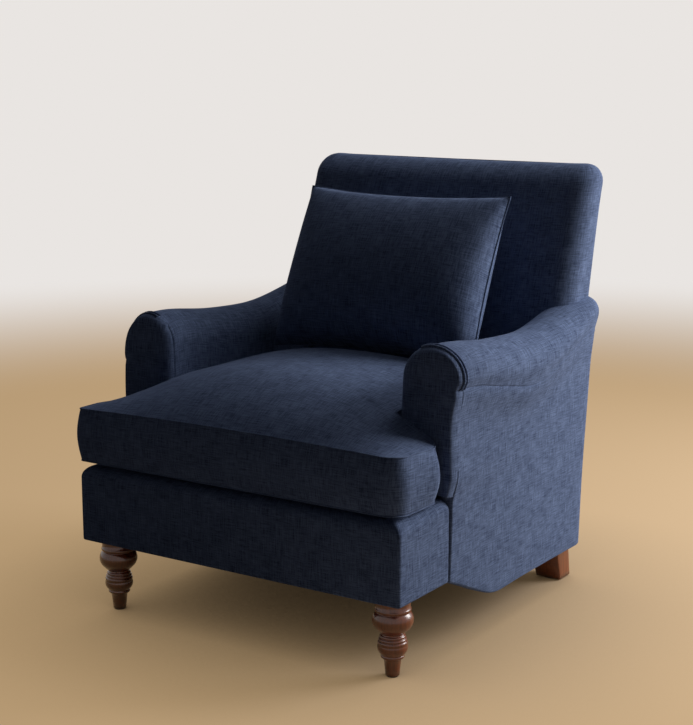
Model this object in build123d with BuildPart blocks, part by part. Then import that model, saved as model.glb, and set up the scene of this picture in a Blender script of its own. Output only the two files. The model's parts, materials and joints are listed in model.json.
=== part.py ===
from build123d import *
import math
import os

# An upholstered armchair: a boxed front base, low rolled arms, a raked tight back,
# a T-shaped seat cushion, a loose pillow, turned front feet and splayed rear legs.
# Millimetres. Z is up, the chair faces -Y, and right means +X, as seen from the front.
# The origin is on the floor under the middle of the chair.

os.makedirs("parts", exist_ok=True)

# Overall sizes
DEPTH = 930.0
HEIGHT = 919.0
BASE_WIDTH = 780.0
BASE_HEIGHT = 170.0
FRONT_LEG = 158.0
REAR_LEG = 80.0
SEAT_WIDTH = 570.0
EAR_DEPTH = 185.0
DIP_RUN = 195.0
DIP_ROUND = 150.0
BASE_ROUND = 10.0

# Arms
ARM_HEIGHT = 619.0
ARM_DIP = 26.0
ARM_RISE = 14.0
SADDLE = 330.0
ROLL_OVERHANG = 31.0
ROLL_TUCK = 24.0
SCROLL_RADIUS = 28.0
SCROLL_TURN = 50.0
FACING_DEPTH = 22.0
FACING_ROUND = 15.0
WELT = 7.0
STATIONS = 7

# Back
BACK_WIDTH = 736.0
BACK_DEPTH = 137.5
BACK_RAKE = 15.8
BACK_LEAN = 130.0
BACK_BOW = 28.0
REAR_CROWN = 14.75
BACK_TOP_ROUND = 46.0
BACK_EDGE_ROUND = 38.0
REAR_ROUND = 36.0
POST_DROP = 69.0

# Seat cushion and pillow
CUSHION_OVERHANG = 10.0
CUSHION_EDGE = 112.0
CUSHION_CROWN = 90.0
CROWN_FRONT = 255.0
CROWN_REAR = 235.0
CUSHION_CORNER = 15.0
CUSHION_BULGE = 10.0
EAR_ROUND = 58.0
CUSHION_BEHIND = 14.0
NOSE_RISE = 3.0
PILLOW_WIDTH = 500.0
PILLOW_HEIGHT = 380.0
PILLOW_HALF = 122.0
PILLOW_LEAN = 9.0
PILLOW_SWELL = 1.1
PILLOW_SLUMP = 0.12
PILLOW_WAIST = 12.0
PILLOW_ROWS = 9
PILLOW_TURN = 88.5
PILLOW_STEPS = 8

# Materials and clearances
COVER = 4.0
GAP = 0.3
BOARD = 25.0
POST = 28.0
POST_DEPTH = 50.0
POST_SETBACK = 5.0
POST_CHAMFER = 20.0
RAIL_DEPTH = 60.0
PAD = 14.0
PAD_INSET = 6.0
CLOTH = 1.4
WIRE = 4.0
STRAP = 1.5
GLIDE = 3.0
TIE = 3.0

# Feet
FOOT_X = 341.0
FOOT_INSET = 57.0
BOLT = 8.0
NUT = 11.0
BLOCK_LEG = 105.0
BLOCK_HEIGHT = 45.0
BOLT_REACH = 30.0
LEG_TOP = (68.0, 58.0)
LEG_FLOOR = (60.0, 50.0)
LEG_SPLAY = 16.0
LEG_INSET = 26.0
# Turned outline of a front foot: (drop below the base, radius); three points make an arc
FOOT_TURNING = (
    ((0, 45), (7, 45)),
    ((7, 45), (10.5, 42)),
    ((10.5, 42), (22, 50), (42, 43.5)),
    ((42, 43.5), (53, 34.5), (61, 30)),
    ((61, 30), (66, 31.5)),
    ((66, 31.5), (69, 34), (72.5, 32.5)),
    ((72.5, 32.5), (75.7, 35.3), (79, 33.8)),
    ((79, 33.8), (82.2, 36.5), (85.5, 35)),
    ((85.5, 35), (92, 37), (113, 27)),
    ((113, 27), (117, 29.5), (121, 27)),
    ((121, 27), (122.5, 21.5)),
    ((122.5, 21.5), (155, 18.5)),
)

# Suspension
SPRINGS = 5
SPRING_RUNS = 19
SPRING_HALF = 22.0
SPRING_BEND = 9.0
CLIP = 1.5
CLIP_LENGTH = 18.0
STRAPS = 4
STRAP_WIDTH = 50.0
LUMBAR_STRAPS = (0.6, 0.85)
TIES = (0.4, 0.7)

# Zip of the seat cushion
ZIP_LENGTH = 460.0
ZIP_TAPE = 24.0
ZIP_CHAIN = 5.0
SLIDER = (13.0, 9.0, 5.0)
ZIP_CLOTH = 1.0
ZIP_TOOTH = 2.0
EYE = 4.4
PULL = (17.0, 6.0, 1.2)

# Positions that follow from the sizes
inside = COVER + GAP
padded = inside + PAD
base_half = BASE_WIDTH / 2
base_front = -DEPTH / 2 + CUSHION_OVERHANG
base_top = FRONT_LEG + BASE_HEIGHT
arm_front = base_front + EAR_DEPTH
arm_inner = SEAT_WIDTH / 2
arm_bottom = base_top + GAP
roll_radius = (base_half + ROLL_OVERHANG - arm_inner) / 2
flow_radius = ROLL_OVERHANG / (1 - math.cos(math.radians(SCROLL_TURN))) - SCROLL_RADIUS
saddle_y = arm_front + SADDLE
back_half = BACK_WIDTH / 2
rake = math.radians(BACK_RAKE)
dip_y = arm_front + DIP_RUN
rear_top = DEPTH / 2 + REAR_CROWN
back_foot = rear_top - BACK_DEPTH - (HEIGHT - base_top) * math.tan(rake)
rear_bow = ThreePointArc(
    (rear_top - BACK_LEAN, REAR_LEG),
    (rear_top - BACK_LEAN / 2 - BACK_BOW, (REAR_LEG + HEIGHT) / 2),
    (rear_top, HEIGHT),
)


def rear_line(z):
    """Y of the chair's rear surface: an arc that leans back and bows forward in the middle."""
    rise = z - rear_bow.arc_center.Y
    return rear_bow.arc_center.X - math.sqrt(rear_bow.radius**2 - rise**2)


def rear_arc(inset, low, high):
    """Three points of the rear surface between two heights, moved forward by the inset."""
    return [(rear_line(z) - inset, z) for z in (low, (low + high) / 2, high)]


def back_front(z, inset=0.0):
    """Y of the raked front of the back, or of a surface parallel to it and behind it."""
    return back_foot + (z - base_top) * math.tan(rake) + inset / math.cos(rake)


post_back = COVER + POST_SETBACK
post_front = post_back + POST_DEPTH
roll_end = rear_line(arm_bottom) - post_front - GAP


def crest(y):
    """Height of the arm's top: level in front, a saddle, then a rise to the back."""
    if y <= saddle_y:
        t = max(0.0, (y - arm_front) / SADDLE)
        return ARM_HEIGHT - ARM_DIP * (1 - math.cos(math.pi * t)) / 2
    t = (y - saddle_y) / (roll_end - saddle_y)
    return ARM_HEIGHT - ARM_DIP + (ARM_DIP + ARM_RISE) * (1 - math.cos(math.pi * t)) / 2


rail_bottom = FRONT_LEG + CLOTH + 2 * GAP
rear_bottom = REAR_LEG + CLOTH + 2 * GAP
deck_top = base_top - GAP
rail_top = deck_top - COVER - PAD - TIE - WIRE - CLIP - 4 * GAP
rail_outer = base_half - inside
rail_x = rail_outer - BOARD
post_x = rail_x - POST
front_rail_y = base_front + inside
stump_y = arm_front + GAP
stump_back = stump_y + BOARD
arm_rear_top = crest(roll_end)
tack_x = arm_inner + inside + BOARD
stations = [stump_y + (roll_end - stump_y) * i / (STATIONS - 1) for i in range(STATIONS)]


def save(part, label):
    """Name a finished part and write its file."""
    part.label = label
    export_step(part, f"parts/{label}.step")


def save_pair(right, stem):
    """Write a right-hand part and its mirror image on the left."""
    with BuildPart() as left:
        mirror(right, about=Plane.YZ)
    save(right, f"{stem}_right")
    save(left.part, f"{stem}_left")


def across(y):
    """The upright plane across the chair at a given depth: X to the right, Z up."""
    return Plane.XZ.offset(-y)


def roll_curve(y, inset):
    """Draw the arm from the seat up, over the roll and under it to the outside panel."""
    spring = crest(y) - roll_radius
    side = Line((arm_inner + inset, arm_bottom), (arm_inner + inset, spring))
    over = JernArc(side @ 1, (0, 1), roll_radius - inset, -180)
    under = JernArc(over @ 1, (0, -1), ROLL_TUCK - inset, -90)
    lip = Line(under @ 1, (base_half + GAP, (under @ 1).Y))
    return side @ 0, lip @ 1


def facing_curve(inset, bottom):
    """Draw the arm's front edge: up the seat side, round the scroll and down outside."""
    spring = ARM_HEIGHT - roll_radius
    side = Line((arm_inner + inset, bottom), (arm_inner + inset, spring))
    over = JernArc(side @ 1, (0, 1), roll_radius - inset, -180)
    scroll = JernArc(over @ 1, (0, -1), SCROLL_RADIUS - inset, -SCROLL_TURN)
    flow = JernArc(scroll @ 1, scroll % 1, flow_radius + inset, SCROLL_TURN)
    edge = Line(flow @ 1, ((flow @ 1).X, bottom))
    return side @ 0, edge @ 1


# Frame: the rails under the seat
with BuildPart() as front_rail:
    with BuildSketch(Plane.XY.offset(rail_bottom)):
        with Locations((0, front_rail_y + BOARD / 2)):
            Rectangle(2 * rail_outer, BOARD)
    extrude(amount=rail_top - rail_bottom)
save(front_rail.part, "front_rail")

with BuildPart() as side_rail:
    with BuildSketch(Plane.YZ.offset(rail_x)) as board:
        with BuildLine():
            rear = ThreePointArc(*rear_arc(COVER + REAR_ROUND, rear_bottom, rail_top))
            Polyline(
                rear @ 1,
                (front_rail_y + BOARD, rail_top),
                (front_rail_y + BOARD, rail_bottom),
                (arm_front, rail_bottom),
                (dip_y, rear_bottom),
                rear @ 0,
            )
        make_face()
        fillet(board.vertices().sort_by_distance((dip_y, rear_bottom))[0], DIP_ROUND)
    extrude(amount=BOARD)
save_pair(side_rail.part, "side_rail")

with BuildPart() as rear_bottom_rail:
    with BuildSketch(Plane.YZ):
        with BuildLine():
            rear = ThreePointArc(*rear_arc(post_back, rear_bottom, rear_bottom + 2 * RAIL_DEPTH))
            inner = post_back + BOARD
            ahead = ThreePointArc(*rear_arc(inner, rear_bottom, rear_bottom + 2 * RAIL_DEPTH))
            Line(rear @ 0, ahead @ 0)
            Line(rear @ 1, ahead @ 1)
        make_face()
    extrude(amount=post_x, both=True)
save(rear_bottom_rail.part, "rear_bottom_rail")

spring_rail_y = rear_line(rail_top - RAIL_DEPTH) - post_front
with BuildPart() as rear_seat_rail:
    with BuildSketch(Plane.XY.offset(rail_top - RAIL_DEPTH)):
        with Locations((0, spring_rail_y + BOARD / 2)):
            Rectangle(2 * post_x, BOARD)
    extrude(amount=RAIL_DEPTH)
save(rear_seat_rail.part, "rear_seat_rail")

# Frame: the arms and the back
with BuildPart() as arm_stump:
    with BuildSketch(across(stump_y)):
        with BuildLine():
            spring = ARM_HEIGHT - roll_radius
            side = Line((arm_inner + padded, rail_bottom), (arm_inner + padded, spring))
            over = JernArc(side @ 1, (0, 1), roll_radius - padded, -180)
            Polyline(
                over @ 1,
                (rail_outer, spring - ROLL_TUCK),
                (rail_outer, rail_top),
                (rail_x, rail_top),
                (rail_x, rail_bottom),
                side @ 0,
            )
        make_face()
    extrude(amount=-BOARD)
save_pair(arm_stump.part, "arm_stump")

arm_rail_x = rail_outer - BOARD - PAD
with BuildPart() as arm_top_rail:
    with BuildSketch(Plane.YZ.offset(arm_rail_x)):
        with BuildLine():
            upper = Spline(*[(y, crest(y) - roll_radius / 2) for y in stations[1:]])
            lower = Spline(*[(y, crest(y) - roll_radius - ROLL_TUCK - PAD) for y in stations[1:]])
            Polyline(upper @ 0, (stump_back, (upper @ 0).Y), (stump_back, (lower @ 0).Y), lower @ 0)
            Line(upper @ 1, lower @ 1)
        make_face()
    extrude(amount=rail_outer - arm_rail_x)
save_pair(arm_top_rail.part, "arm_top_rail")

tack_bottom = base_top + PAD
with BuildPart() as arm_tack_rail:
    with BuildSketch(Plane.YZ.offset(tack_x)):
        with BuildLine():
            Polyline(
                (stump_back, tack_bottom),
                (roll_end, tack_bottom),
                (roll_end, tack_bottom + RAIL_DEPTH),
                (stump_back, tack_bottom + RAIL_DEPTH),
                close=True,
            )
        make_face()
    extrude(amount=post_x - tack_x)
save_pair(arm_tack_rail.part, "arm_tack_rail")

post_top = HEIGHT - POST_DROP
with BuildPart() as back_post:
    with BuildSketch(Plane.YZ.offset(post_x)):
        with BuildLine():
            rear = ThreePointArc(*rear_arc(post_back, rear_bottom, post_top))
            ahead = ThreePointArc(*rear_arc(post_front, rear_bottom, post_top))
            Line(rear @ 0, ahead @ 0)
            Line(rear @ 1, ahead @ 1)
        make_face()
    extrude(amount=POST)
    outer_edges = back_post.faces().sort_by(Axis.X)[-1].edges()
    chamfer(outer_edges.filter_by(GeomType.CIRCLE).sort_by(Axis.Y)[-1], POST_CHAMFER)
save_pair(back_post.part, "back_post")

with BuildPart() as rear_stile:
    with BuildSketch(Plane.YZ.offset(rail_x)):
        with BuildLine():
            rear = ThreePointArc(*rear_arc(2 * COVER + REAR_ROUND, rail_top, arm_rear_top - padded))
            Polyline(
                rear @ 1,
                (roll_end + inside, arm_rear_top - padded),
                (roll_end + inside, ARM_HEIGHT - 3 * roll_radius),
                (rear_line(rail_top) - post_front, rail_top),
                rear @ 0,
            )
        make_face()
    extrude(amount=BOARD)
save_pair(rear_stile.part, "rear_stile")

for name, low in (
    ("back_lower_rail", tack_bottom + RAIL_DEPTH),
    ("back_top_rail", post_top - RAIL_DEPTH),
):
    with BuildPart() as back_rail:
        with BuildSketch(Plane.YZ):
            with BuildLine():
                ahead = ThreePointArc(*rear_arc(post_front, low, low + RAIL_DEPTH))
                behind = ThreePointArc(*rear_arc(post_front - BOARD, low, low + RAIL_DEPTH))
                Line(ahead @ 0, behind @ 0)
                Line(ahead @ 1, behind @ 1)
            make_face()
        extrude(amount=post_x, both=True)
    save(back_rail.part, name)

# Frame: the glue blocks in the four corners, drilled for the feet
foot_y = base_front + FOOT_INSET
block_front = front_rail_y + BOARD
block_rear = rear_line(rear_bottom) - post_back - BOARD
leg_x = base_half - LEG_INSET - LEG_TOP[0] / 2
leg_y = block_rear - LEG_TOP[1] / 2
rear_bolt_x = post_x - BOARD
bolt_places = [
    (FOOT_X, foot_y, FRONT_LEG, rail_bottom + BLOCK_HEIGHT),
    (rear_bolt_x, leg_y, REAR_LEG, rear_bottom + BLOCK_HEIGHT),
]
with BuildPart() as corner_blocks:
    for x, y, low, back in (
        (rail_x, block_front, rail_bottom, BLOCK_LEG),
        (post_x, block_rear, rear_bottom, -BLOCK_LEG),
    ):
        with BuildSketch(Plane.XY.offset(low)):
            with BuildLine():
                Polyline((x, y), (x - BLOCK_LEG, y), (x, y + back), close=True)
            make_face()
            with Locations(*[place[:2] for place in bolt_places]):
                Circle(NUT / 2 + GAP, mode=Mode.SUBTRACT)
        extrude(amount=BLOCK_HEIGHT)
    mirror(about=Plane.YZ)
save(corner_blocks.part, "corner_blocks")

# Suspension of the seat
wire_z = rail_top + CLIP + GAP
run_first = front_rail_y + 2 * CLIP + GAP + WIRE / 2
run_last = spring_rail_y + BOARD - 2 * CLIP - GAP - WIRE / 2
pitch = (run_last - run_first) / (SPRING_RUNS - 1)
spring_x = [SEAT_WIDTH * ((i + 0.5) / SPRINGS - 0.5) for i in range(SPRINGS)]


def spring_path(x):
    """Corner points of one zigzag spring, from its first cross run to its last."""
    points = []
    for i in range(SPRING_RUNS):
        y = run_first + i * pitch
        turn = SPRING_HALF if i % 2 == 0 else -SPRING_HALF
        bend = math.copysign(SPRING_BEND, turn)
        points += [(x - turn, y), (x + turn, y)]
        points += [(x + turn + bend, y + SPRING_BEND), (x + turn + bend, y + pitch - SPRING_BEND)]
    return points[:-2]


with BuildPart() as seat_springs:
    for x in spring_x:
        with BuildLine(Plane.XY.offset(wire_z + WIRE / 2)) as wire:
            Polyline(*spring_path(x))
        with BuildSketch(Plane(wire.line @ 0, z_dir=wire.line % 0)):
            Rectangle(WIRE, WIRE)
        sweep(transition=Transition.RIGHT)
save(seat_springs.part, "seat_springs")

clip_height = 2 * CLIP + WIRE + 2 * GAP
with BuildPart() as spring_clips:
    for edge, side in ((front_rail_y + CLIP, 1), (spring_rail_y + BOARD - CLIP, -1)):
        for x in spring_x:
            with BuildSketch(Plane.YZ.offset(x - SPRING_HALF / 2)):
                with BuildLine():
                    Polyline(
                        (edge, rail_top),
                        (edge + side * CLIP_LENGTH, rail_top),
                        (edge + side * CLIP_LENGTH, rail_top + CLIP),
                        (edge + side * CLIP, rail_top + CLIP),
                        (edge + side * CLIP, rail_top + clip_height - CLIP),
                        (edge + side * CLIP_LENGTH, rail_top + clip_height - CLIP),
                        (edge + side * CLIP_LENGTH, rail_top + clip_height),
                        (edge, rail_top + clip_height),
                        close=True,
                    )
                make_face()
            extrude(amount=SPRING_HALF)
save(spring_clips.part, "spring_clips")

with BuildPart() as spring_ties:
    for part_way in TIES:
        tie_y = run_first + part_way * (run_last - run_first)
        with BuildSketch(Plane.YZ):
            with Locations((tie_y, wire_z + WIRE + GAP + TIE / 2)):
                RegularPolygon(TIE / 2, 6, major_radius=False)
        extrude(amount=arm_inner, both=True)
save(spring_ties.part, "spring_ties")

# Elastic straps of the back
strap_low = tack_bottom + RAIL_DEPTH
with BuildPart() as back_webbing:
    for i in range(STRAPS):
        strap_x = 2 * post_x * ((i + 0.5) / STRAPS - 0.5)
        with BuildSketch(Plane.YZ.offset(strap_x - STRAP_WIDTH / 2)):
            with BuildLine():
                behind = ThreePointArc(*rear_arc(post_front + GAP, strap_low, post_top))
                ahead = ThreePointArc(*rear_arc(post_front + GAP + STRAP, strap_low, post_top))
                Line(behind @ 0, ahead @ 0)
                Line(behind @ 1, ahead @ 1)
            make_face()
        extrude(amount=STRAP_WIDTH)
save(back_webbing.part, "back_webbing")

with BuildPart() as lumbar_webbing:
    for part_way in LUMBAR_STRAPS:
        low = strap_low + part_way * (post_top - strap_low) - STRAP_WIDTH / 2
        with BuildSketch(Plane.YZ):
            with BuildLine():
                behind = ThreePointArc(*rear_arc(post_front + 2 * GAP + STRAP, low, low + STRAP_WIDTH))
                ahead = ThreePointArc(*rear_arc(post_front + 2 * GAP + 2 * STRAP, low, low + STRAP_WIDTH))
                Line(behind @ 0, ahead @ 0)
                Line(behind @ 1, ahead @ 1)
            make_face()
        extrude(amount=rail_x, both=True)
save(lumbar_webbing.part, "lumbar_webbing")

# Padding and cover of the base and the deck under the cushion
with BuildPart() as base_cover:
    with BuildSketch(Plane.XY.offset(FRONT_LEG)):
        with Locations((0, (base_front + arm_front) / 2)):
            Rectangle(BASE_WIDTH, EAR_DEPTH)
    extrude(amount=BASE_HEIGHT)
    top_edges = base_cover.faces().sort_by(Axis.Z)[-1].edges()
    fillet(top_edges.sort_by(Axis.Y)[:3], BASE_ROUND)
    with BuildSketch(Plane.XY.offset(FRONT_LEG)):
        with Locations((0, base_front + COVER)):
            Rectangle(BASE_WIDTH - 2 * COVER, EAR_DEPTH + BASE_ROUND, align=(Align.CENTER, Align.MIN))
    extrude(amount=BASE_HEIGHT - COVER - BASE_ROUND, mode=Mode.SUBTRACT)
    with BuildSketch(Plane.XY.offset(base_top - COVER - BASE_ROUND)):
        with Locations((0, base_front + COVER)):
            Rectangle(BASE_WIDTH - 2 * COVER, EAR_DEPTH + BASE_ROUND, align=(Align.CENTER, Align.MIN))
    extrude(amount=BASE_ROUND, taper=45, mode=Mode.SUBTRACT)
save(base_cover.part, "base_cover")

with BuildPart() as base_pad:
    with BuildSketch(Plane.XY.offset(rail_top + clip_height + GAP)):
        with Locations((0, base_front + inside + BASE_ROUND + (EAR_DEPTH - inside - BASE_ROUND) / 2)):
            Rectangle(2 * (rail_outer - BASE_ROUND), EAR_DEPTH - inside - BASE_ROUND)
    extrude(amount=deck_top - COVER - rail_top - clip_height - GAP)
save(base_pad.part, "base_pad")

deck_back = spring_rail_y + BOARD
for name, low, thick in (
    ("deck_pad", deck_top - COVER - GAP - PAD, PAD),
    ("deck_cover", deck_top - COVER, COVER),
):
    with BuildPart() as deck:
        with BuildSketch(Plane.XY.offset(low)):
            with Locations((0, (arm_front + GAP + deck_back) / 2)):
                Rectangle(SEAT_WIDTH + 2 * COVER, deck_back - arm_front - GAP)
        extrude(amount=thick)
    save(deck.part, name)

# Padding and covers of the arms
with BuildPart() as arm_pad:
    for y in [stump_back + GAP] + stations[1:]:
        with BuildSketch(across(y)):
            with BuildLine():
                spring = crest(y) - roll_radius
                side = Line((arm_inner + PAD_INSET, arm_bottom), (arm_inner + PAD_INSET, spring))
                over = JernArc(side @ 1, (0, 1), roll_radius - PAD_INSET, -180)
                under = JernArc(over @ 1, (0, -1), ROLL_TUCK - PAD_INSET, -90)
                Polyline(
                    under @ 1,
                    (rail_outer + GAP, (under @ 1).Y),
                    (rail_outer + GAP, crest(y) - roll_radius / 2 + CLOTH),
                    (arm_rail_x - GAP, crest(y) - roll_radius / 2 + CLOTH),
                    (arm_rail_x - GAP, spring - ROLL_TUCK),
                    (tack_x - GAP, spring - ROLL_TUCK),
                    (tack_x - GAP, arm_bottom),
                    side @ 0,
                )
            make_face()
    loft()
save_pair(arm_pad.part, "arm_pad")

with BuildPart() as arm_cover:
    for y in stations:
        with BuildSketch(across(y)):
            with BuildLine():
                outer = roll_curve(y, 0)
                inner = roll_curve(y, COVER)
                Line(outer[0], inner[0])
                Line(outer[1], inner[1])
            make_face()
    loft()
    with BuildSketch(across(roll_end)):
        with BuildLine():
            spring = arm_rear_top - roll_radius
            side = Line((arm_inner, spring - ROLL_TUCK), (arm_inner, spring))
            over = JernArc(side @ 1, (0, 1), roll_radius, -180)
            under = JernArc(over @ 1, (0, -1), ROLL_TUCK, -90)
            Line(under @ 1, side @ 0)
        make_face()
    extrude(amount=-COVER)
save_pair(arm_cover.part, "arm_cover")

panel_back = COVER + REAR_ROUND + GAP
with BuildPart() as outside_arm:
    with BuildSketch(Plane.YZ.offset(base_half - COVER)) as panel:
        with BuildLine():
            rear = ThreePointArc(*rear_arc(panel_back, REAR_LEG, arm_rear_top))
            seam = Spline(*[(y, crest(y) - roll_radius - ROLL_TUCK - GAP) for y in stations])
            Polyline(
                rear @ 1,
                (roll_end + inside, arm_rear_top),
                (roll_end + inside, (seam @ 1).Y),
                seam @ 1,
            )
            Polyline(seam @ 0, (stump_y, FRONT_LEG), (dip_y, REAR_LEG), rear @ 0)
        make_face()
        fillet(panel.vertices().sort_by_distance((dip_y, REAR_LEG))[0], DIP_ROUND)
    extrude(amount=COVER)
save_pair(outside_arm.part, "outside_arm")

with BuildPart() as arm_facing:
    with BuildSketch(across(arm_front)):
        with BuildLine():
            ends = facing_curve(WELT / 2 + 2 * GAP, arm_bottom)
            Line(ends[0], ends[1])
        make_face()
    extrude(amount=FACING_DEPTH)
    fillet(arm_facing.faces().sort_by(Axis.Y)[0].edges(), FACING_ROUND)
save_pair(arm_facing.part, "arm_facing")

with BuildPart() as facing_welts:
    with BuildLine(across(arm_front - WELT / 2 - GAP)) as rim:
        facing_curve(GAP, arm_bottom)
    with BuildSketch(Plane(rim.line @ 0, z_dir=rim.line % 0)):
        RegularPolygon(WELT / 2, 6)
    sweep()
    mirror(about=Plane.YZ)
save(facing_welts.part, "facing_welts")

# Padding and covers of the back
upper_bottom = arm_rear_top + COVER
seam_x = back_half - BACK_EDGE_ROUND - COVER


def back_outline(inset, low):
    """Draw the side view of the back above a height, inset all round except below."""
    high = HEIGHT - inset
    rear = ThreePointArc(*rear_arc(inset, low, high))
    Polyline(rear @ 1, (back_front(high, inset), high), (back_front(low, inset), low), rear @ 0)


with BuildPart() as back_hollow:
    with BuildSketch(Plane.YZ) as hollow:
        with BuildLine():
            back_outline(COVER, upper_bottom - COVER)
        make_face()
        fillet(hollow.vertices().sort_by(Axis.Y)[-2:], BACK_TOP_ROUND - COVER)
    extrude(amount=back_half - COVER)
    side_face = back_hollow.faces().sort_by(Axis.X)[-1]
    fillet(side_face.edges().sort_by(Axis.Z)[1:], BACK_EDGE_ROUND - COVER)

with BuildPart() as back_side_cover:
    with BuildSketch(Plane.YZ) as shape:
        with BuildLine():
            back_outline(0, upper_bottom)
        make_face()
        fillet(shape.vertices().sort_by(Axis.Y)[-2:], BACK_TOP_ROUND)
    extrude(amount=back_half)
    side_face = back_side_cover.faces().sort_by(Axis.X)[-1]
    fillet(side_face.edges().sort_by(Axis.Z)[1:], BACK_EDGE_ROUND)
    with BuildSketch(Plane.XY.offset(upper_bottom)) as shoulder:
        with Locations((seam_x - PAD, roll_end)):
            Rectangle(
                base_half - seam_x + PAD,
                rear_line(upper_bottom) - roll_end,
                align=(Align.MIN, Align.MIN),
            )
        fillet(shoulder.vertices().group_by(Axis.Y)[-1].sort_by(Axis.X)[-1], REAR_ROUND)
    extrude(amount=COVER)
    add(back_hollow.part, mode=Mode.SUBTRACT)
    split(bisect_by=Plane.YZ.offset(seam_x), keep=Keep.TOP)
save_pair(back_side_cover.part, "back_side_cover")

with BuildPart() as inside_back:
    with BuildSketch(Plane.YZ) as band:
        with BuildLine():
            back_outline(0, arm_bottom)
        make_face()
        fillet(band.vertices().sort_by(Axis.Y)[-2:], BACK_TOP_ROUND)
        offset(amount=-COVER, mode=Mode.SUBTRACT)
        with BuildLine():
            Polyline(
                (back_front(arm_bottom, COVER), arm_bottom),
                (back_front(arm_bottom, COVER), arm_bottom + COVER),
                (back_front(post_top, BACK_TOP_ROUND), post_top),
                (rear_line(post_top) + COVER, post_top),
                (rear_line(post_top) + COVER, arm_bottom),
                close=True,
            )
        make_face(mode=Mode.SUBTRACT)
    extrude(amount=seam_x - GAP, both=True)
    with BuildSketch(across(0)):
        with Locations((arm_inner - GAP, 0), (GAP - arm_inner - BACK_WIDTH, 0)):
            Rectangle(BACK_WIDTH, upper_bottom, align=(Align.MIN, Align.MIN))
    extrude(amount=DEPTH, both=True, mode=Mode.SUBTRACT)
save(inside_back.part, "inside_back")

pad_back = post_front + 2 * STRAP + 3 * GAP


def pad_outline(low, high):
    """Draw the side view of the back's padding between two heights, ahead of the straps."""
    rear = ThreePointArc(*rear_arc(pad_back, low, high))
    Polyline(rear @ 1, (back_front(high, inside), high), (back_front(low, inside), low), rear @ 0)


with BuildPart() as back_pad:
    with BuildSketch(Plane.YZ) as upper_pad:
        with BuildLine():
            pad_outline(upper_bottom, HEIGHT - inside)
        make_face()
        fillet(upper_pad.vertices().group_by(Axis.Y)[-1].sort_by(Axis.X)[0], BACK_TOP_ROUND - inside)
    extrude(amount=seam_x, both=True)
    with BuildSketch(Plane.YZ):
        with BuildLine():
            pad_outline(arm_bottom, upper_bottom + COVER)
        make_face()
    extrude(amount=arm_inner - GAP, both=True)
save(back_pad.part, "back_pad")

with BuildPart() as rear_hollow:
    with BuildSketch(Plane.YZ):
        with BuildLine():
            rear = ThreePointArc(*rear_arc(COVER, REAR_LEG - PAD, upper_bottom + PAD))
            ahead = ThreePointArc(*rear_arc(2 * COVER + REAR_ROUND, REAR_LEG - PAD, upper_bottom + PAD))
            Line(rear @ 0, ahead @ 0)
            Line(rear @ 1, ahead @ 1)
        make_face()
    extrude(amount=base_half - COVER, both=True)
    corners = rear_hollow.faces().sort_by(Axis.Y)[-1].edges().sort_by(Axis.X)
    fillet([corners[0], corners[-1]], REAR_ROUND - COVER)

with BuildPart() as outside_back:
    with BuildSketch(Plane.YZ):
        with BuildLine():
            rear = ThreePointArc(*rear_arc(0, REAR_LEG, upper_bottom - GAP))
            ahead = ThreePointArc(*rear_arc(COVER + REAR_ROUND, REAR_LEG, upper_bottom - GAP))
            Line(rear @ 0, ahead @ 0)
            Line(rear @ 1, ahead @ 1)
        make_face()
    extrude(amount=base_half, both=True)
    corners = outside_back.faces().sort_by(Axis.Y)[-1].edges().sort_by(Axis.X)
    fillet([corners[0], corners[-1]], REAR_ROUND)
    add(rear_hollow.part, mode=Mode.SUBTRACT)
    with BuildSketch(Plane.YZ):
        with BuildLine():
            rear = ThreePointArc(*rear_arc(0, upper_bottom - COVER, post_top - GAP))
            ahead = ThreePointArc(*rear_arc(COVER, upper_bottom - COVER, post_top - GAP))
            Line(rear @ 0, ahead @ 0)
            Line(rear @ 1, ahead @ 1)
        make_face()
    extrude(amount=seam_x - GAP, both=True)
save(outside_back.part, "outside_back")

with BuildPart() as dust_cover:
    with BuildSketch(Plane.YZ) as sheet:
        with BuildLine():
            sheet_back = rear_line(REAR_LEG) - inside - REAR_ROUND
            lower = Polyline(
                (front_rail_y, FRONT_LEG + GAP),
                (arm_front, FRONT_LEG + GAP),
                (dip_y, REAR_LEG + GAP),
                (sheet_back, REAR_LEG + GAP),
            )
            upper = Polyline(
                (front_rail_y, FRONT_LEG + GAP + CLOTH),
                (arm_front, FRONT_LEG + GAP + CLOTH),
                (dip_y, REAR_LEG + GAP + CLOTH),
                (sheet_back, REAR_LEG + GAP + CLOTH),
            )
            Line(lower @ 0, upper @ 0)
            Line(lower @ 1, upper @ 1)
        make_face()
        fillet(sheet.vertices().sort_by_distance((dip_y, REAR_LEG))[:2], DIP_ROUND)
    extrude(amount=rail_outer, both=True)
    with BuildSketch(Plane.XY.offset(REAR_LEG + GAP)):
        with Locations((0, sheet_back - PAD)):
            Rectangle(2 * post_x, PAD + REAR_ROUND - BOARD / 2, align=(Align.CENTER, Align.MIN))
    extrude(amount=CLOTH)
    with BuildSketch():
        for x, y, low, high in bolt_places:
            with Locations((x, y), (-x, y)):
                Circle(NUT / 2)
    extrude(amount=base_top, mode=Mode.SUBTRACT)
save(dust_cover.part, "dust_cover")

# Feet: turned in front, square and splayed behind
turned = Plane((FOOT_X, foot_y, 0), x_dir=(1, 0, 0), z_dir=(0, -1, 0))


def turning(drop, radius):
    """A point of the turned outline, measured down from the base and out from the axis."""
    return radius, FRONT_LEG - (FRONT_LEG - GLIDE) * drop / FOOT_TURNING[-1][-1][0]


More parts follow.
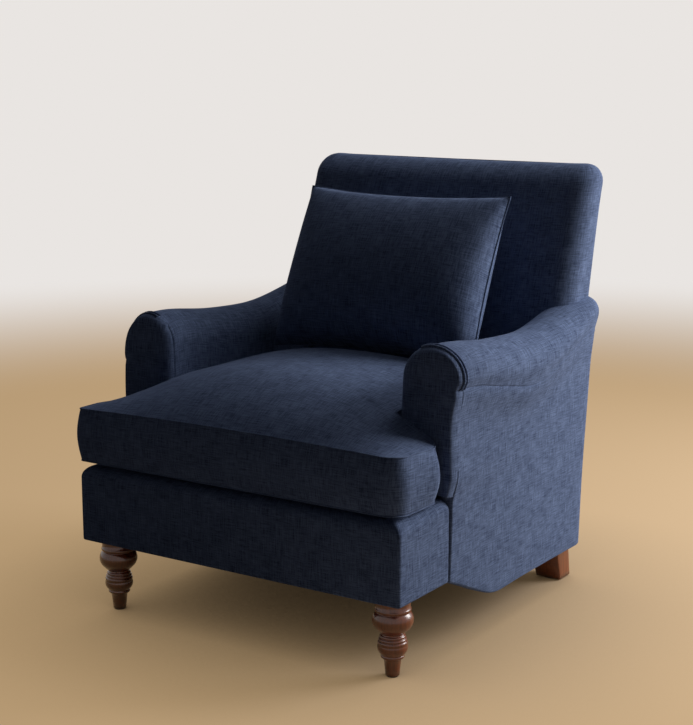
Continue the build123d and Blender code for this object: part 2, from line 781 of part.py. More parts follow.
with BuildPart() as front_foot:
    with BuildSketch(turned):
        with BuildLine():
            for stretch in FOOT_TURNING:
                points = [turning(*point) for point in stretch]
                if len(points) == 3:
                    ThreePointArc(*points)
                else:
                    Line(*points)
            Polyline(
                turning(*FOOT_TURNING[0][0]),
                (0, FRONT_LEG),
                (0, GLIDE),
                turning(*FOOT_TURNING[-1][-1]),
            )
        make_face()
    revolve(axis=Axis((FOOT_X, foot_y, 0), (0, 0, 1)))
    with BuildSketch(Plane.XY.offset(FRONT_LEG)):
        with Locations((FOOT_X, foot_y)):
            Circle(BOLT / 2 + GAP)
    extrude(amount=-BOLT_REACH - GAP, mode=Mode.SUBTRACT)
save_pair(front_foot.part, "front_foot")

leg_foot = (leg_x + (LEG_TOP[0] - LEG_FLOOR[0]) / 2, leg_y + LEG_SPLAY)
with BuildPart() as rear_leg:
    with BuildSketch(Plane.XY.offset(GLIDE)):
        with Locations(leg_foot):
            Rectangle(*LEG_FLOOR)
    with BuildSketch(Plane.XY.offset(REAR_LEG)):
        with Locations((leg_x, leg_y)):
            Rectangle(*LEG_TOP)
    loft()
    with BuildSketch(Plane.XY.offset(REAR_LEG)):
        with Locations((rear_bolt_x, leg_y)):
            Circle(BOLT / 2 + GAP)
    extrude(amount=-BOLT_REACH - GAP, mode=Mode.SUBTRACT)
save_pair(rear_leg.part, "rear_leg")

with BuildPart() as leg_bolts:
    for x, y, low, high in bolt_places:
        with BuildSketch(Plane.XY.offset(low - BOLT_REACH)):
            with Locations((x, y), (-x, y)):
                Circle(BOLT / 2)
        extrude(amount=high + BOLT - low + BOLT_REACH)
save(leg_bolts.part, "leg_bolts")

with BuildPart() as tee_nuts:
    for x, y, low, high in bolt_places:
        with BuildSketch(Plane.XY.offset(high - BOLT)):
            with Locations((x, y), (-x, y)):
                Circle(NUT / 2)
                Circle(BOLT / 2 + GAP, mode=Mode.SUBTRACT)
        extrude(amount=BOLT)
        with BuildSketch(Plane.XY.offset(high)):
            with Locations((x, y), (-x, y)):
                Circle(NUT)
                Circle(BOLT / 2 + GAP, mode=Mode.SUBTRACT)
        extrude(amount=CLIP)
save(tee_nuts.part, "tee_nuts")

with BuildPart() as floor_glides:
    with BuildSketch():
        for x, y, radius in ((FOOT_X, foot_y, NUT), (*leg_foot, 2 * NUT)):
            with Locations((x, y), (-x, y)):
                Circle(radius)
    extrude(amount=GLIDE)
save(floor_glides.part, "floor_glides")

# Seat cushion: a T whose ears wrap round the front of the arms
seat_bottom = base_top + GAP
seat_top = seat_bottom + CUSHION_EDGE + CUSHION_CROWN
cushion_rear = back_front(base_top) - CUSHION_BEHIND
ear_back = arm_front - FACING_DEPTH - COVER


def cushion_shape(inset):
    """The cushion, crowned on top and bulging in front and at its ears, drawn in by the inset."""
    half = base_half - inset
    seam = half - CUSHION_BULGE
    front = inset - DEPTH / 2
    front_seam = front + CUSHION_BULGE
    edge = seat_bottom + CUSHION_EDGE - inset
    top = seat_top - inset
    bottom = seat_bottom + inset
    middle = (bottom + edge) / 2
    with BuildPart() as shape:
        with BuildSketch(Plane.XY.offset(bottom)) as plan:
            with Locations((0, (front + ear_back - inset) / 2)):
                Rectangle(2 * half, ear_back - inset - front)
            fillet(plan.vertices().sort_by(Axis.Y)[:2], CUSHION_CORNER - inset)
            fillet(plan.vertices().sort_by(Axis.Y)[-2:], EAR_ROUND - inset)
            with Locations((0, cushion_rear - inset)):
                Rectangle(
                    2 * (arm_inner - COVER - inset),
                    cushion_rear - inset - front - CUSHION_CORNER,
                    align=(Align.CENTER, Align.MAX),
                )
        extrude(amount=top - bottom + PAD)
        with BuildSketch(across(0)):
            with BuildLine():
                crown = ThreePointArc((-seam, edge), (0, top), (seam, edge))
                right = ThreePointArc(crown @ 1, (half + NOSE_RISE, middle), (seam, bottom))
                left = ThreePointArc(crown @ 0, (-half - NOSE_RISE, middle), (-seam, bottom))
                Polyline(right @ 1, (seam, bottom - PAD), (-seam, bottom - PAD), left @ 1)
            make_face()
        extrude(amount=DEPTH, both=True, mode=Mode.INTERSECT)
        with BuildSketch(Plane.YZ):
            with BuildLine():
                behind = cushion_rear + PAD
                peak = top + NOSE_RISE
                level = Line((behind - CROWN_REAR, peak), (front_seam + CROWN_FRONT, peak))
                nose = TangentArc(level @ 1, (front_seam, edge), tangent=(-1, 0))
                tail = TangentArc(level @ 0, (behind, edge), tangent=(1, 0))
                boxing = ThreePointArc(nose @ 1, (front - NOSE_RISE, middle), (front_seam, bottom))
                Polyline(boxing @ 1, (front_seam, bottom - PAD), (behind, bottom - PAD), tail @ 1)
            make_face()
        extrude(amount=half + PAD, both=True, mode=Mode.INTERSECT)
    return shape.part


cushion_outside = cushion_shape(0)
cushion_hollow = cushion_shape(COVER)
with BuildPart() as seat_cover:
    add(cushion_outside)
    add(cushion_hollow, mode=Mode.SUBTRACT)
save(seat_cover.part, "seat_cushion_cover")
save(cushion_shape(inside), "seat_cushion_core")

# Zip along the back of the cushion
zip_z = seat_bottom + CUSHION_EDGE / 2
tape_y = cushion_rear + GAP
chain_y = tape_y + ZIP_CLOTH
slider_y = chain_y + GAP
slider_top = slider_y + SLIDER[2]
slider_x = -ZIP_LENGTH / 2 + SLIDER[0]
pin_y = slider_top + EYE / 2 + GAP
with BuildPart() as seat_zip:
    with BuildSketch(Plane.YZ):
        with Locations((tape_y, zip_z)):
            Rectangle(ZIP_CLOTH, ZIP_TAPE, align=(Align.MIN, Align.CENTER))
            Rectangle(ZIP_CLOTH + ZIP_TOOTH, ZIP_CHAIN, align=(Align.MIN, Align.CENTER))
    extrude(amount=ZIP_LENGTH / 2, both=True)
save(seat_zip.part, "seat_zip")

with BuildPart() as zip_slider:
    with BuildSketch(Plane.YZ.offset(slider_x - SLIDER[0] / 2)):
        with Locations((slider_y, zip_z)):
            Rectangle(SLIDER[2], SLIDER[1], align=(Align.MIN, Align.CENTER))
            Rectangle(
                ZIP_TOOTH,
                ZIP_CHAIN + 2 * GAP,
                align=(Align.MIN, Align.CENTER),
                mode=Mode.SUBTRACT,
            )
    extrude(amount=SLIDER[0])
    for side in (1, -1):
        with BuildSketch(Plane.XY.offset(zip_z + side * (PULL[1] / 2 + GAP))):
            with Locations((slider_x, slider_top)):
                Rectangle(EYE, EYE + 2 * GAP, align=(Align.CENTER, Align.MIN))
        extrude(amount=side * CLIP)
    with BuildSketch(Plane.XY.offset(zip_z)):
        with Locations((slider_x, pin_y)):
            Circle(EYE / 4)
    extrude(amount=PULL[1] / 2 + 2 * GAP, both=True)
save(zip_slider.part, "seat_zip_slider")

with BuildPart() as zip_pull:
    with BuildSketch(Plane.XY.offset(zip_z)):
        with Locations((slider_x, pin_y)):
            Circle(EYE / 2)
            Rectangle(PULL[0], PULL[2], align=(Align.MIN, Align.CENTER))
            Circle(EYE / 4 + GAP, mode=Mode.SUBTRACT)
    extrude(amount=PULL[1] / 2, both=True)
save(zip_pull.part, "seat_zip_pull")

# Pillow: knife-edged and plump, slumped a little, leaning on the back and standing on the seat


def pillow_shape(edge, inset):
    """The pillow standing upright: lens-shaped sections, narrowest half-way up and thickest below it."""
    with BuildPart() as shape:
        for row in range(PILLOW_ROWS):
            turn = math.radians(PILLOW_TURN * (2 * row / (PILLOW_ROWS - 1) - 1))
            half = PILLOW_WIDTH / 2 - edge - PILLOW_WAIST * math.cos(turn) ** 2
            thick = (PILLOW_HALF - inset) * math.cos(turn) ** PILLOW_SWELL
            thick *= 1 - PILLOW_SLUMP * math.sin(turn)
            with BuildSketch(Plane.XY.offset((PILLOW_HEIGHT / 2 - edge) * math.sin(turn))):
                with BuildLine():
                    angles = [math.pi * (i / (PILLOW_ROWS - 1) - 0.5) for i in range(PILLOW_ROWS)]
                    for side in (thick, -thick):
                        Spline(*[(half * math.sin(a), side * math.cos(a) ** PILLOW_SWELL) for a in angles])
                make_face()
        loft()
    return shape.part


# It slides down the back until it meets the crowned seat
pillow_outside = pillow_shape(0, 0)
leaning = Rot(X=-BACK_RAKE - PILLOW_LEAN)
pillow_z = seat_top + GAP - (leaning * pillow_outside).bounding_box().min.Z
reach = (Rot(X=-PILLOW_LEAN) * pillow_outside).bounding_box().max.Y + GAP
resting = Pos(0, back_front(pillow_z) - reach / math.cos(rake), pillow_z) * leaning
for step in range(PILLOW_STEPS):
    drop = (resting * pillow_outside).distance_to(cushion_outside) - GAP
    resting = Pos(0, -drop * math.sin(rake), -drop * math.cos(rake)) * resting
pillow_hollow = pillow_shape(2 * COVER, COVER)
with BuildPart() as pillow_cover:
    add(pillow_outside)
    add(pillow_hollow, mode=Mode.SUBTRACT)
save(resting * pillow_cover.part, "pillow_cover")
save(resting * pillow_shape(2 * COVER + GAP, inside), "pillow_filling")
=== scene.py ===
import json

import bmesh
import bpy
import numpy as np
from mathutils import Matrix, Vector

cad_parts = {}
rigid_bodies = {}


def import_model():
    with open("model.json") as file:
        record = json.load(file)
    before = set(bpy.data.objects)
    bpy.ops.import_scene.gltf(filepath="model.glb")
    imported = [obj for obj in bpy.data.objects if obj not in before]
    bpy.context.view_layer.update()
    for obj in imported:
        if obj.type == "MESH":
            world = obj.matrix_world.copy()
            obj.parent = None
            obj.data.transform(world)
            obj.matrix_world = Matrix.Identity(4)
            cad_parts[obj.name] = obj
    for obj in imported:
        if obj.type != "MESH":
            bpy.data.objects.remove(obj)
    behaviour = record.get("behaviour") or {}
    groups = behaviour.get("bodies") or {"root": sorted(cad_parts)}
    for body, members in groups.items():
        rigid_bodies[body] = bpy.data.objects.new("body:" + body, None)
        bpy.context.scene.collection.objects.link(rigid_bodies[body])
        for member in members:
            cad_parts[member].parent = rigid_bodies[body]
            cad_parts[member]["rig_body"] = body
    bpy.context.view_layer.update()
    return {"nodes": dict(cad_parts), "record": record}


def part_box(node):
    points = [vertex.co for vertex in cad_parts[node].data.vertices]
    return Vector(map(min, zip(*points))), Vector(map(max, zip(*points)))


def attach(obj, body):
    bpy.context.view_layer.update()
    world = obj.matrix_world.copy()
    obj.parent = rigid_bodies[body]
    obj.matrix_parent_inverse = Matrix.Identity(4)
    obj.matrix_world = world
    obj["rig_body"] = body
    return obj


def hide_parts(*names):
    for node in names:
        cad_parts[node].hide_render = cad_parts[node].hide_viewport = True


# An upholstered armchair in navy chenille, dressed over its solids.
# Shapes are worked out in millimetres, in the solids' frame: the chair faces -Y, Z is up.

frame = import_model()

MM = 0.001

# Base and outside of the chair
BASE_HALF, BASE_FRONT, BASE_REAR = 390.0, -455.0, -270.0
BASE_LOW, BASE_TOP = 158.0, 328.0
SIDE_ROUND, FRONT_ROUND, BASE_CORNER = 28.0, 24.0, 7.0
BASE_PUFF, FRONT_STRIP = 3.0, 30.0
# The top's dip towards the front: its depth, where it starts behind the front, and its length
FRONT_DIP, DIP_START, DIP_LENGTH = 9.0, 155.0, 80.0
# The base's turned-under hem and its closed top, as (height, inset) of each row
BASE_HEM = np.array([(164, 88), (160, 60), (158, 6), (158.6, 2), (160.5, 0.4)])
BASE_LID = np.array([(328.4, 20), (328.4, 60)])
REAR_ROUND = 50.0
REAR_CENTRE, REAR_RADIUS = (3618.7, 3.06), 3269.856
CHAIR_TOP = 919.0

# Arms
ARM_FRONT, ARM_REAR, ARM_INNER, ARM_LOW = -270.0, 345.0, 285.0, 330.0
ROLL_HALF, ROLL_TUCK, SIDE_HOLLOW = 68.0, 6.0, 3.0
# Heights of the crest, of the crease under the roll and of the lower hem, along the arm
CREST = ((-270, -211, -81, -19, 44, 110, 177, 241, 300, 345), (619, 617, 602, 597, 594, 595, 603, 616, 629, 637))
CREASE = ((-270, -207, -133, -49, 39, 107, 177, 249, 314, 345), (541, 536, 522, 507, 496, 505, 521, 537, 550, 556))
SKIRT = ((-270, -221, -162, -102, -67, -40, 0, 345), (157, 138, 114.5, 91, 82.5, 80, 80, 80))
# The outside panel's flare in front: its width, its fade along the arm, its lower end and its rise
ARM_FLARE, FLARE_FADE, FLARE_LOW, FLARE_RISE = 13.0, 130.0, 312.0, 60.0
# The cove under the roll, the panel's swell and hem, and where the cloth is folded in under the arm
COVE, PANEL_SWELL, HEM_ROUND, FOLD_X, FOLD_RISE = 42.0, 2.0, 5.0, (360.0, 350.0), 8.0
# The crease: least drop below the widest line, place on the tuck and width, then its depth and ridge along the arm
CREASE_DROP, CREASE_PLACE, CREASE_WIDTH = 16.0, 0.94, 1.7
GROOVE, RIDGE = ((10, 90), (2.0, 0.0)), ((70, 130), (0.0, 1.0))
# Points across an arm's section: on its side and on each half of the roll, on the tuck and on the panel
ROLL_STEPS, TUCK_STEPS, PANEL_STEPS = 12, 24, 31
CREASE_COLUMN = 3 * ROLL_STEPS + TUCK_STEPS
PANEL_COLUMN = CREASE_COLUMN + 10
# Each roll's overhang and the height of its widest line, along the arm: the left roll is softer in front
ROLLS = {
    "right": (
        ((-270, -207, -100, 40, 150, 260, 345), (30, 31, 31, 30, 25, 16, 10)),
        ((-270, -207, -133, -49, 39, 107, 177, 249, 314, 345), (560, 558, 550, 541, 535, 538, 549, 567, 589, 598)),
    ),
    "left": (
        ((-270, -207, -100, 40, 150, 260, 345), (15, 23, 29, 30, 25, 16, 10)),
        ((-270, -207, -133, -49, 39, 107, 177, 249, 314, 345), (531, 545, 548, 541, 535, 538, 549, 567, 589, 598)),
    ),
}
# Arm fronts: the upright spine, the edge's width by X, the swell and its belly, and the hidden closing row
SPINE_X, SPINE_LOW, SPINE_TOP = 345.0, 372.0, 556.0
FACING_EDGE = ((ARM_INNER, 345, 395), (34, 18, 5))
FACING_SWELL, BELLY, BELLY_Z, BELLY_HALF, FACING_BEHIND = 21.0, 4.0, 462.0, 80.0, 14.0
# Piping: where it starts, the middle of the roll, and (out, back) of its two tubes
PIPING_START, ROLL_MIDDLE = (322, 560), np.array([345.0, 0.0, 550.0])
PIPING_PAIR, PIPING_RADIUS = ((0.4, -5.5), (1.4, 2.5)), {"right": 3.1, "left": 2.2}

# Back
BACK_HALF, BACK_ROUND, BACK_TOP_ROUND = 368.0, 44.0, 46.0
BACK_FOOT, BACK_SLOPE, BACK_KNEE, BACK_LEAN = 175.0, 0.283, 460.0, 0.08
# Heights of the rows between the arms, half width by height, and insets of the rows that close the top
BACK_ROWS = (334, 340, 420, 500, 560, 572, 584)
BACK_WIDTH = ((560, 572, 584), (283.0, 330.0, BACK_HALF))
BACK_LID, BACK_THINNEST = (56, 62), 0.6
BACK_PLUMP, PLUMP_LOW = 15.0, 520.0
# The top corners: how far out and up, their place and size, and the sag between them
TIP_OUT, TIP_UP, TIP_INSET, TIP_WIDE, TIP_TALL, TOP_SAG = 5.0, 2.0, 8.0, 34.0, 30.0, 3.0
# The rear panel: its half width, lower and upper edge, and how far it stands proud and tucks in, each with its reach
PANEL_HALF, PANEL_LOW, PANEL_TOP, PANEL_THICK = 345.0, 82.0, 852.0, 4.0
PROUD, PROUD_REACH, EDGE_TUCK, EDGE_REACH = 2.5, 3.0, 5.0, 1.2

# Seat cushion and pillow
CUSHION_HALF, CUSHION_FRONT, CUSHION_REAR = 386.0, -458.0, 160.0
EAR_BACK, STEM_HALF = -293.0, 280.0
CORNER_ROUND, EAR_ROUND = {-1: 9.0, 1: 34.0}, 42.0
# The ears' droop: its depth, where it starts behind the front, its length and its width
EAR_DROOP, DROOP_START, DROOP_LENGTH, DROOP_WIDTH = 8.0, 60.0, 100.0, 90.0
BOXING_BULGE, EAR_BULGE, EAR_BULGE_REACH, BOXING_STEPS = 9.0, 13.0, 55.0, 10
CUSHION_LOW, CUSHION_SEAM, CUSHION_CROWN = 329.0, 441.0, 82.0
FRONT_LIFT, LIFT_REACH, SEAM_RISE = 2.5, 30.0, 7.0
# The crown's length from the front and from the rear, how far past the rear it ends, and its powers across and along
CROWN_FRONT, CROWN_REAR, CROWN_PAST, CROWN_ACROSS, CROWN_ALONG = 235.0, 200.0, 20.0, 2.4, 0.85
# Room for the cushion: before the zip, and half the width between the arms and before them
ROOM_REAR, ROOM_STEM, ROOM_EARS = 160.7, 282.5, 402.0
PILLOW_MIDDLE, PILLOW_LEAN = np.array([-5.0, 138.0, 683.0]), np.radians(24.8)
PILLOW_HALF = (257.0, 192.0, 110.0)
# Steps of the cloth simulation that blows up the cushion and the pillow, and the sharpness of their seams
SETTLE_STEPS, SEAM_SHARPNESS = 20, 0.8
# How far the pillow's sides and ends are drawn in between its corners, its swell's power, and how much more low down
DRAWN_SIDES, DRAWN_ENDS, PILLOW_POWER, LOW_FULLNESS = 0.035, 0.075, 0.45, 0.12

# Deck, as (inset, height) of each row, and the dust cover's height by Y
DECK_HALF, DECK_ROUND, DECK_Y = (284.0, 252.0), 8.0, -16.0
DECK_ROWS = np.array([(120, 321), (1, 321.5), (0, 325), (2, 327.2), (8, 327.9), (60, 328), (240, 328)])
DUST_HALF, DUST_THICK = 370.0, 1.2
DUST_LINE = ((-446, -268, -60, 320), (159.6, 159.6, 81.6, 81.6))

# Feet
FOOT_X, FOOT_Y, FOOT_TOP, GLIDE = 341.0, -398.0, 158.0, 3.0
# Rear legs: half sizes at the top and their taper, corners, and the splay outwards and back
LEG_HALF, LEG_TAPER, LEG_ROUND = (34.0, 29.0), 4.0, 2.5
LEG_X, LEG_TOP, SPLAY_OUT, SPLAY_BACK = 330.0, 80.0, 4.0, 16.0
# Turned outline: (drop below the base, radius); three points make an arc
FOOT_TURNING = (
    ((0, 34), (20, 34)),
    ((20, 34), (24.5, 35.6), (28, 33)),
    ((28, 33), (30, 35)),
    ((30, 35), (44, 40), (63, 31)),
    ((63, 31), (68.5, 25.5), (71.5, 21.5)),
    ((71.5, 21.5), (74, 22.5)),
    ((74, 22.5), (77, 25.2), (80, 24.4)),
    ((80, 24.4), (83, 27.2), (86, 26.2)),
    ((86, 26.2), (89, 28.8), (92, 27.7)),
    ((92, 27.7), (98, 29.3), (114, 21.5)),
    ((114, 21.5), (117.5, 22.9), (121, 20.5)),
    ((121, 20.5), (124, 16.8)),
    ((124, 16.8), (155, 13.6)),
)


# Lines and surfaces


def spline(x, table):
    """Natural cubic through a table of knots: its second derivatives solve a tridiagonal system."""
    knots, values = (np.asarray(row, float) for row in table)
    step = np.diff(knots)
    slope = np.diff(values) / step
    system = np.diag(np.r_[1.0, 2 * (step[:-1] + step[1:]), 1.0])
    system += np.diag(np.r_[step[:-1], 0.0], -1) + np.diag(np.r_[0.0, step[1:]], 1)
    bend = np.linalg.solve(system, np.r_[0.0, 6 * np.diff(slope), 0.0])
    x = np.clip(x, knots[0], knots[-1])
    i = np.clip(np.searchsorted(knots, x) - 1, 0, len(step) - 1)
    a, b = (knots[i + 1] - x) / step[i], (x - knots[i]) / step[i]
    cubic = ((a**3 - a) * bend[i] + (b**3 - b) * bend[i + 1]) * step[i] ** 2 / 6
    return a * values[i] + b * values[i + 1] + cubic


def rear(z):
    """Y of the chair's rear: an arc of a large circle, which leans back with height."""
    return REAR_CENTRE[0] - np.sqrt(REAR_RADIUS**2 - (z - REAR_CENTRE[1]) ** 2)


def back_face(z):
    """Y of the back's raked front: a straight line leaning back with height, and a little more above its knee."""
    return BACK_FOOT + BACK_SLOPE * (z - BASE_TOP) + BACK_LEAN * np.clip(z - BACK_KNEE, 0, None)


def rounding(radius, depth):
    """How far a round edge is drawn in at a depth past it: a quarter circle."""
    return radius - np.sqrt(radius**2 - np.clip(radius - depth, 0, radius) ** 2)


def smoothstep(t):
    """From 0 to 1 with level ends: a cubic."""
    return 3 * t**2 - 2 * t**3


def bell(distance, reach):
    """1 at no distance, falling to both sides as a bell curve."""
    return np.exp(-((distance / reach) ** 2))


def ripple(points, length, height):
    """Gentle unevenness of padding: five sine waves in fixed directions, added up and scaled."""
    turn = np.array([[0.9, 0.3, 0.2], [-0.4, 0.8, 0.5], [0.1, -0.6, 0.9], [0.7, 0.6, -0.5], [-0.8, 0.2, 0.7]])
    phase = np.array([0.3, 1.9, 3.1, 4.4, 5.6])
    waves = np.sin(points @ turn.T * (2 * np.pi / length) + phase)
    return height * waves.sum(-1) / 2.5


def ring(half_x, half_y, radius, side=30, arc=7):
    """Rectangle with rounded corners, as one closed loop of points for each row of half sizes."""
    half_x, half_y, radius = (np.asarray(v, float).reshape(-1, 1, 1) for v in (half_x, half_y, radius))
    angle = np.radians(90 * np.arange(4)[:, None] + np.linspace(0, 90, arc))
    sign_x, sign_y = np.array([1, -1, -1, 1])[:, None], np.array([1, 1, -1, -1])[:, None]
    corner = np.stack(
        [
            sign_x * (half_x - radius) + radius * np.cos(angle),
            sign_y * (half_y - radius) + radius * np.sin(angle),
        ],
        -1,
    )
    t = np.linspace(0, 1, side + 2)[1:-1][:, None]
    start, end = corner[:, :, -1:], np.roll(corner, -1, axis=1)[:, :, :1]
    loop = np.concatenate([corner, start + (end - start) * t], axis=2)
    loop = loop.reshape(len(loop), -1, 2)
    return np.concatenate([loop, loop[:, :1]], axis=1)


def stacked(loops, z):
    """Loops of X and Y, each at its own height, as one grid."""
    return np.concatenate([loops, np.broadcast_to(z[:, None, None], (*loops.shape[:2], 1))], -1)


def tube(path, radius, beside, closed=False, sides=8):
    """Circle carried along a path: each one stands across the path's direction, turned to a given side."""
    ahead = np.gradient(path, axis=0)
    if closed:
        ahead[[0, -1]] = path[1] - path[-2]
    ahead /= np.linalg.norm(ahead, axis=1)[:, None]
    out = beside - (beside * ahead).sum(-1)[:, None] * ahead
    out /= np.linalg.norm(out, axis=1)[:, None]
    over = np.cross(ahead, out)
    angle = np.linspace(0, 2 * np.pi, sides + 1)[None, :, None]
    return path[:, None] + radius * (out[:, None] * np.cos(angle) + over[:, None] * np.sin(angle))


def capped(grid):
    """The grid with its first and last rows each drawn together to a point."""
    ends = [np.broadcast_to(row.mean(0), row.shape)[None] for row in (grid[0], grid[-1])]
    return np.concatenate([ends[0], grid, ends[1]])


def quads(grid):
    """The values at the four corners of each of a grid's cells."""
    return np.stack([grid[:-1, :-1], grid[:-1, 1:], grid[1:, 1:], grid[1:, :-1]], 2)


def lengths(grid, axis):
    """Distance along a grid's rows or columns from its first point, in metres."""
    step = np.linalg.norm(np.diff(grid, axis=axis), axis=-1) * MM
    return np.insert(np.cumsum(step, axis=axis), 0, 0, axis=axis)


def mesh_piece(name, points, faces, uv, material, body="chair", slot="upholstery"):
    """Points in millimetres, faces and a flat cloth pattern as one smooth, closed piece of the chair."""
    mesh = bpy.data.meshes.new(name)
    mesh.from_pydata((np.asarray(points) * MM).tolist(), [], faces.tolist())
    mesh.uv_layers.new(name="cloth").data.foreach_set("uv", uv.astype(np.float32).ravel())
    weld = bmesh.new()
    weld.from_mesh(mesh)
    bmesh.ops.remove_doubles(weld, verts=weld.verts, dist=2e-5)
    bmesh.ops.recalc_face_normals(weld, faces=weld.faces)
    weld.to_mesh(mesh)
    weld.free()
    mesh.shade_smooth()
    mesh.materials.append(material)
    piece = bpy.data.objects.new(name, mesh)
    bpy.context.scene.collection.objects.link(piece)
    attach(piece, body)
    return piece


def pattern(grid):
    """The flat cloth of a grid, in metres: lengths along its middle column and along its middle row."""
    along = lengths(grid[:, grid.shape[1] // 2], 0)
    across = lengths(grid[len(grid) // 2], 0)
    return np.stack(np.broadcast_arrays(along[:, None], across), -1)


def skin(name, grids, material, flat=None, **place):
    """Grids of points as one piece, with the cloth's flat pattern on each."""
    points, faces, count = [], [], 0
    for grid in grids:
        rows, columns = grid.shape[:2]
        index = np.arange(rows * columns).reshape(rows, columns) + count
        points.append(grid.reshape(-1, 3))
        faces.append(quads(index).reshape(-1, 4))
        count += rows * columns
    faces = np.concatenate(faces)
    flat = np.concatenate([cloth_uv.reshape(-1, 2) for cloth_uv in flat or map(pattern, grids)])
    return mesh_piece(name, np.concatenate(points), faces, flat[faces.ravel()], material, **place)


def mirrored(grid):
    """The same grid on the chair's other side."""
    return grid * np.array([-1.0, 1.0, 1.0])


# Materials


def linear(code):
    """An sRGB hex colour as linear red, green, blue and alpha."""
    value = np.array([int(code[i : i + 2], 16) for i in (1, 3, 5)]) / 255
    value = np.where(value <= 0.04045, value / 12.92, ((value + 0.055) / 1.055) ** 2.4)
    return (*value.tolist(), 1.0)


def node(tree, kind, inputs=None, **settings):
    """Add a shader node, set it up, and set or link its inputs."""
    made = tree.nodes.new("ShaderNode" + kind)
    for key, value in settings.items():
        setattr(made, key, value)
    for key, value in (inputs or {}).items():
        if isinstance(value, bpy.types.NodeSocket):
            tree.links.new(value, made.inputs[key])
        else:
            made.inputs[key].default_value = value
    return made


def new_material(name):
    """An empty material and its node tree."""
    material = bpy.data.materials.new(name)
    material.use_nodes = True
    material.node_tree.nodes.clear()
    return material, material.node_tree


def streaks(tree, where, wide, tall, detail=2.0):
    """Noise drawn out into streaks of a given width and height in millimetres."""
    scale = (1 / (wide * MM), 1 / (tall * MM), 1.0)
    spread = node(tree, "Mapping", {"Vector": where, "Scale": scale})
    return node(tree, "TexNoise", {"Vector": spread.outputs[0], "Scale": 1.0, "Detail": detail}).outputs[0]


def blend(tree, share, one, other):
    """A share of the other value mixed into the one."""
    return node(tree, "Mix", {0: share, 2: one, 3: other}, data_type="FLOAT").outputs[0]


def tone_between(tree, share, dark, light):
    """A colour between two hex colours."""
    return node(tree, "Mix", {0: share, 6: linear(dark), 7: linear(light)}, data_type="RGBA").outputs[2]


def surface(tree, inputs):
    """End a material with a principled shader."""
    shader = node(tree, "BsdfPrincipled", inputs)
    node(tree, "OutputMaterial", {"Surface": shader.outputs[0]})


def chenille():
    """Navy chenille, woven from soft slubby yarn: a heather of paler and darker streaks along both threads."""
    material, tree = new_material("navy_chenille")
    where = node(tree, "TexCoord").outputs["UV"]
    # Slubs are about 2 mm wide and 30 mm long; the yarn of 1 mm is drawn at 1.6 mm, so that it shows.
    along = streaks(tree, where, 34, 2.2)
    across = streaks(tree, where, 2.2, 28)
    cloud = streaks(tree, where, 45, 45)
    yarn = streaks(tree, where, 1.6, 1.6, 1.0)
    both = blend(tree, 0.5, along, across)
    heather = blend(tree, 0.2, blend(tree, 0.14, both, cloud), yarn)
    share = node(tree, "MapRange", {0: heather, 1: 0.39, 2: 0.61}).outputs[0]
    relief = blend(tree, 0.5, both, yarn)
    bump = node(tree, "Bump", {"Strength": 0.35, "Distance": 1.2 * MM, "Height": relief})
    surface(
        tree,
        {
            "Base Color": tone_between(tree, share, "#333e5a", "#7080a2"),
            "Roughness": 0.9,
            "Specular IOR Level": 0.1,
            "Sheen Weight": 0.12,
            "Sheen Roughness": 0.4,
            "Sheen Tint": linear("#8c9cc0"),
            "Normal": bump.outputs[0],
        },
    )
    return material


def lacquered_wood():
    """Walnut-stained turned wood under satin lacquer: brown with long darker grain and a clear shine."""
    material, tree = new_material("stained_walnut")
    where = node(tree, "TexCoord").outputs["Object"]
    # Grain lines are 4 mm apart and run up the foot for about 90 mm.
    spread = node(tree, "Mapping", {"Vector": where, "Scale": (250, 250, 11)})
    grain = node(tree, "TexNoise", {"Vector": spread.outputs[0], "Scale": 1.0, "Detail": 3.0}).outputs[0]
    share = node(tree, "MapRange", {0: grain, 1: 0.35, 2: 0.65}).outputs[0]
    bump = node(tree, "Bump", {"Strength": 0.04, "Distance": 0.3 * MM, "Height": grain})
    surface(
        tree,
        {
            "Base Color": tone_between(tree, share, "#692c12", "#853f1c"),
            "Roughness": 0.32,
            "Coat Weight": 0.45,
            "Coat Roughness": 0.09,
            "Normal": bump.outputs[0],
        },
    )
    return material


def plain_finish(name, dark, light, grain, roughness, metallic=0.0):
    """A plain hidden finish: two close tones in a fine noise of a given grain in millimetres, and its relief."""
    material, tree = new_material(name)
    where = node(tree, "TexCoord").outputs["Object"]
    speck = node(tree, "TexNoise", {"Vector": where, "Scale": 1 / (grain * MM), "Detail": 2.0}).outputs[0]
    colour = tone_between(tree, speck, dark, light)
    bump = node(tree, "Bump", {"Strength": 0.15, "Distance": 0.5 * MM, "Height": speck})
    surface(tree, {"Base Color": colour, "Roughness": roughness, "Metallic": metallic, "Normal": bump.outputs[0]})
    return material


cloth = chenille()
walnut = lacquered_wood()
lining = plain_finish("black_lining_cloth", "#15151a", "#222229", 2.0, 0.95)
hidden = {
    "padding": plain_finish("cream_foam", "#d8cba8", "#e6dcc0", 3.0, 0.95),
    "lining": lining,
    "webbing": plain_finish("woven_tape", "#1c2130", "#2c3348", 1.5, 0.9),
    "frame_wood": plain_finish("sawn_hardwood", "#a98558", "#c3a074", 9.0, 0.7),
    "walnut": walnut,
    "steel": plain_finish("plain_steel", "#8d8f93", "#a6a8ac", 4.0, 0.35, 1.0),
    "nylon": plain_finish("moulded_nylon", "#1c1a18", "#2a2724", 2.0, 0.5),
    "upholstery": cloth,
}
slots = {part["node"]: part["material_slot"] for part in frame["record"]["subparts"]}
for name, solid in frame["nodes"].items():
    solid.data.materials.clear()
    solid.data.materials.append(hidden[slots[name]])


# Base


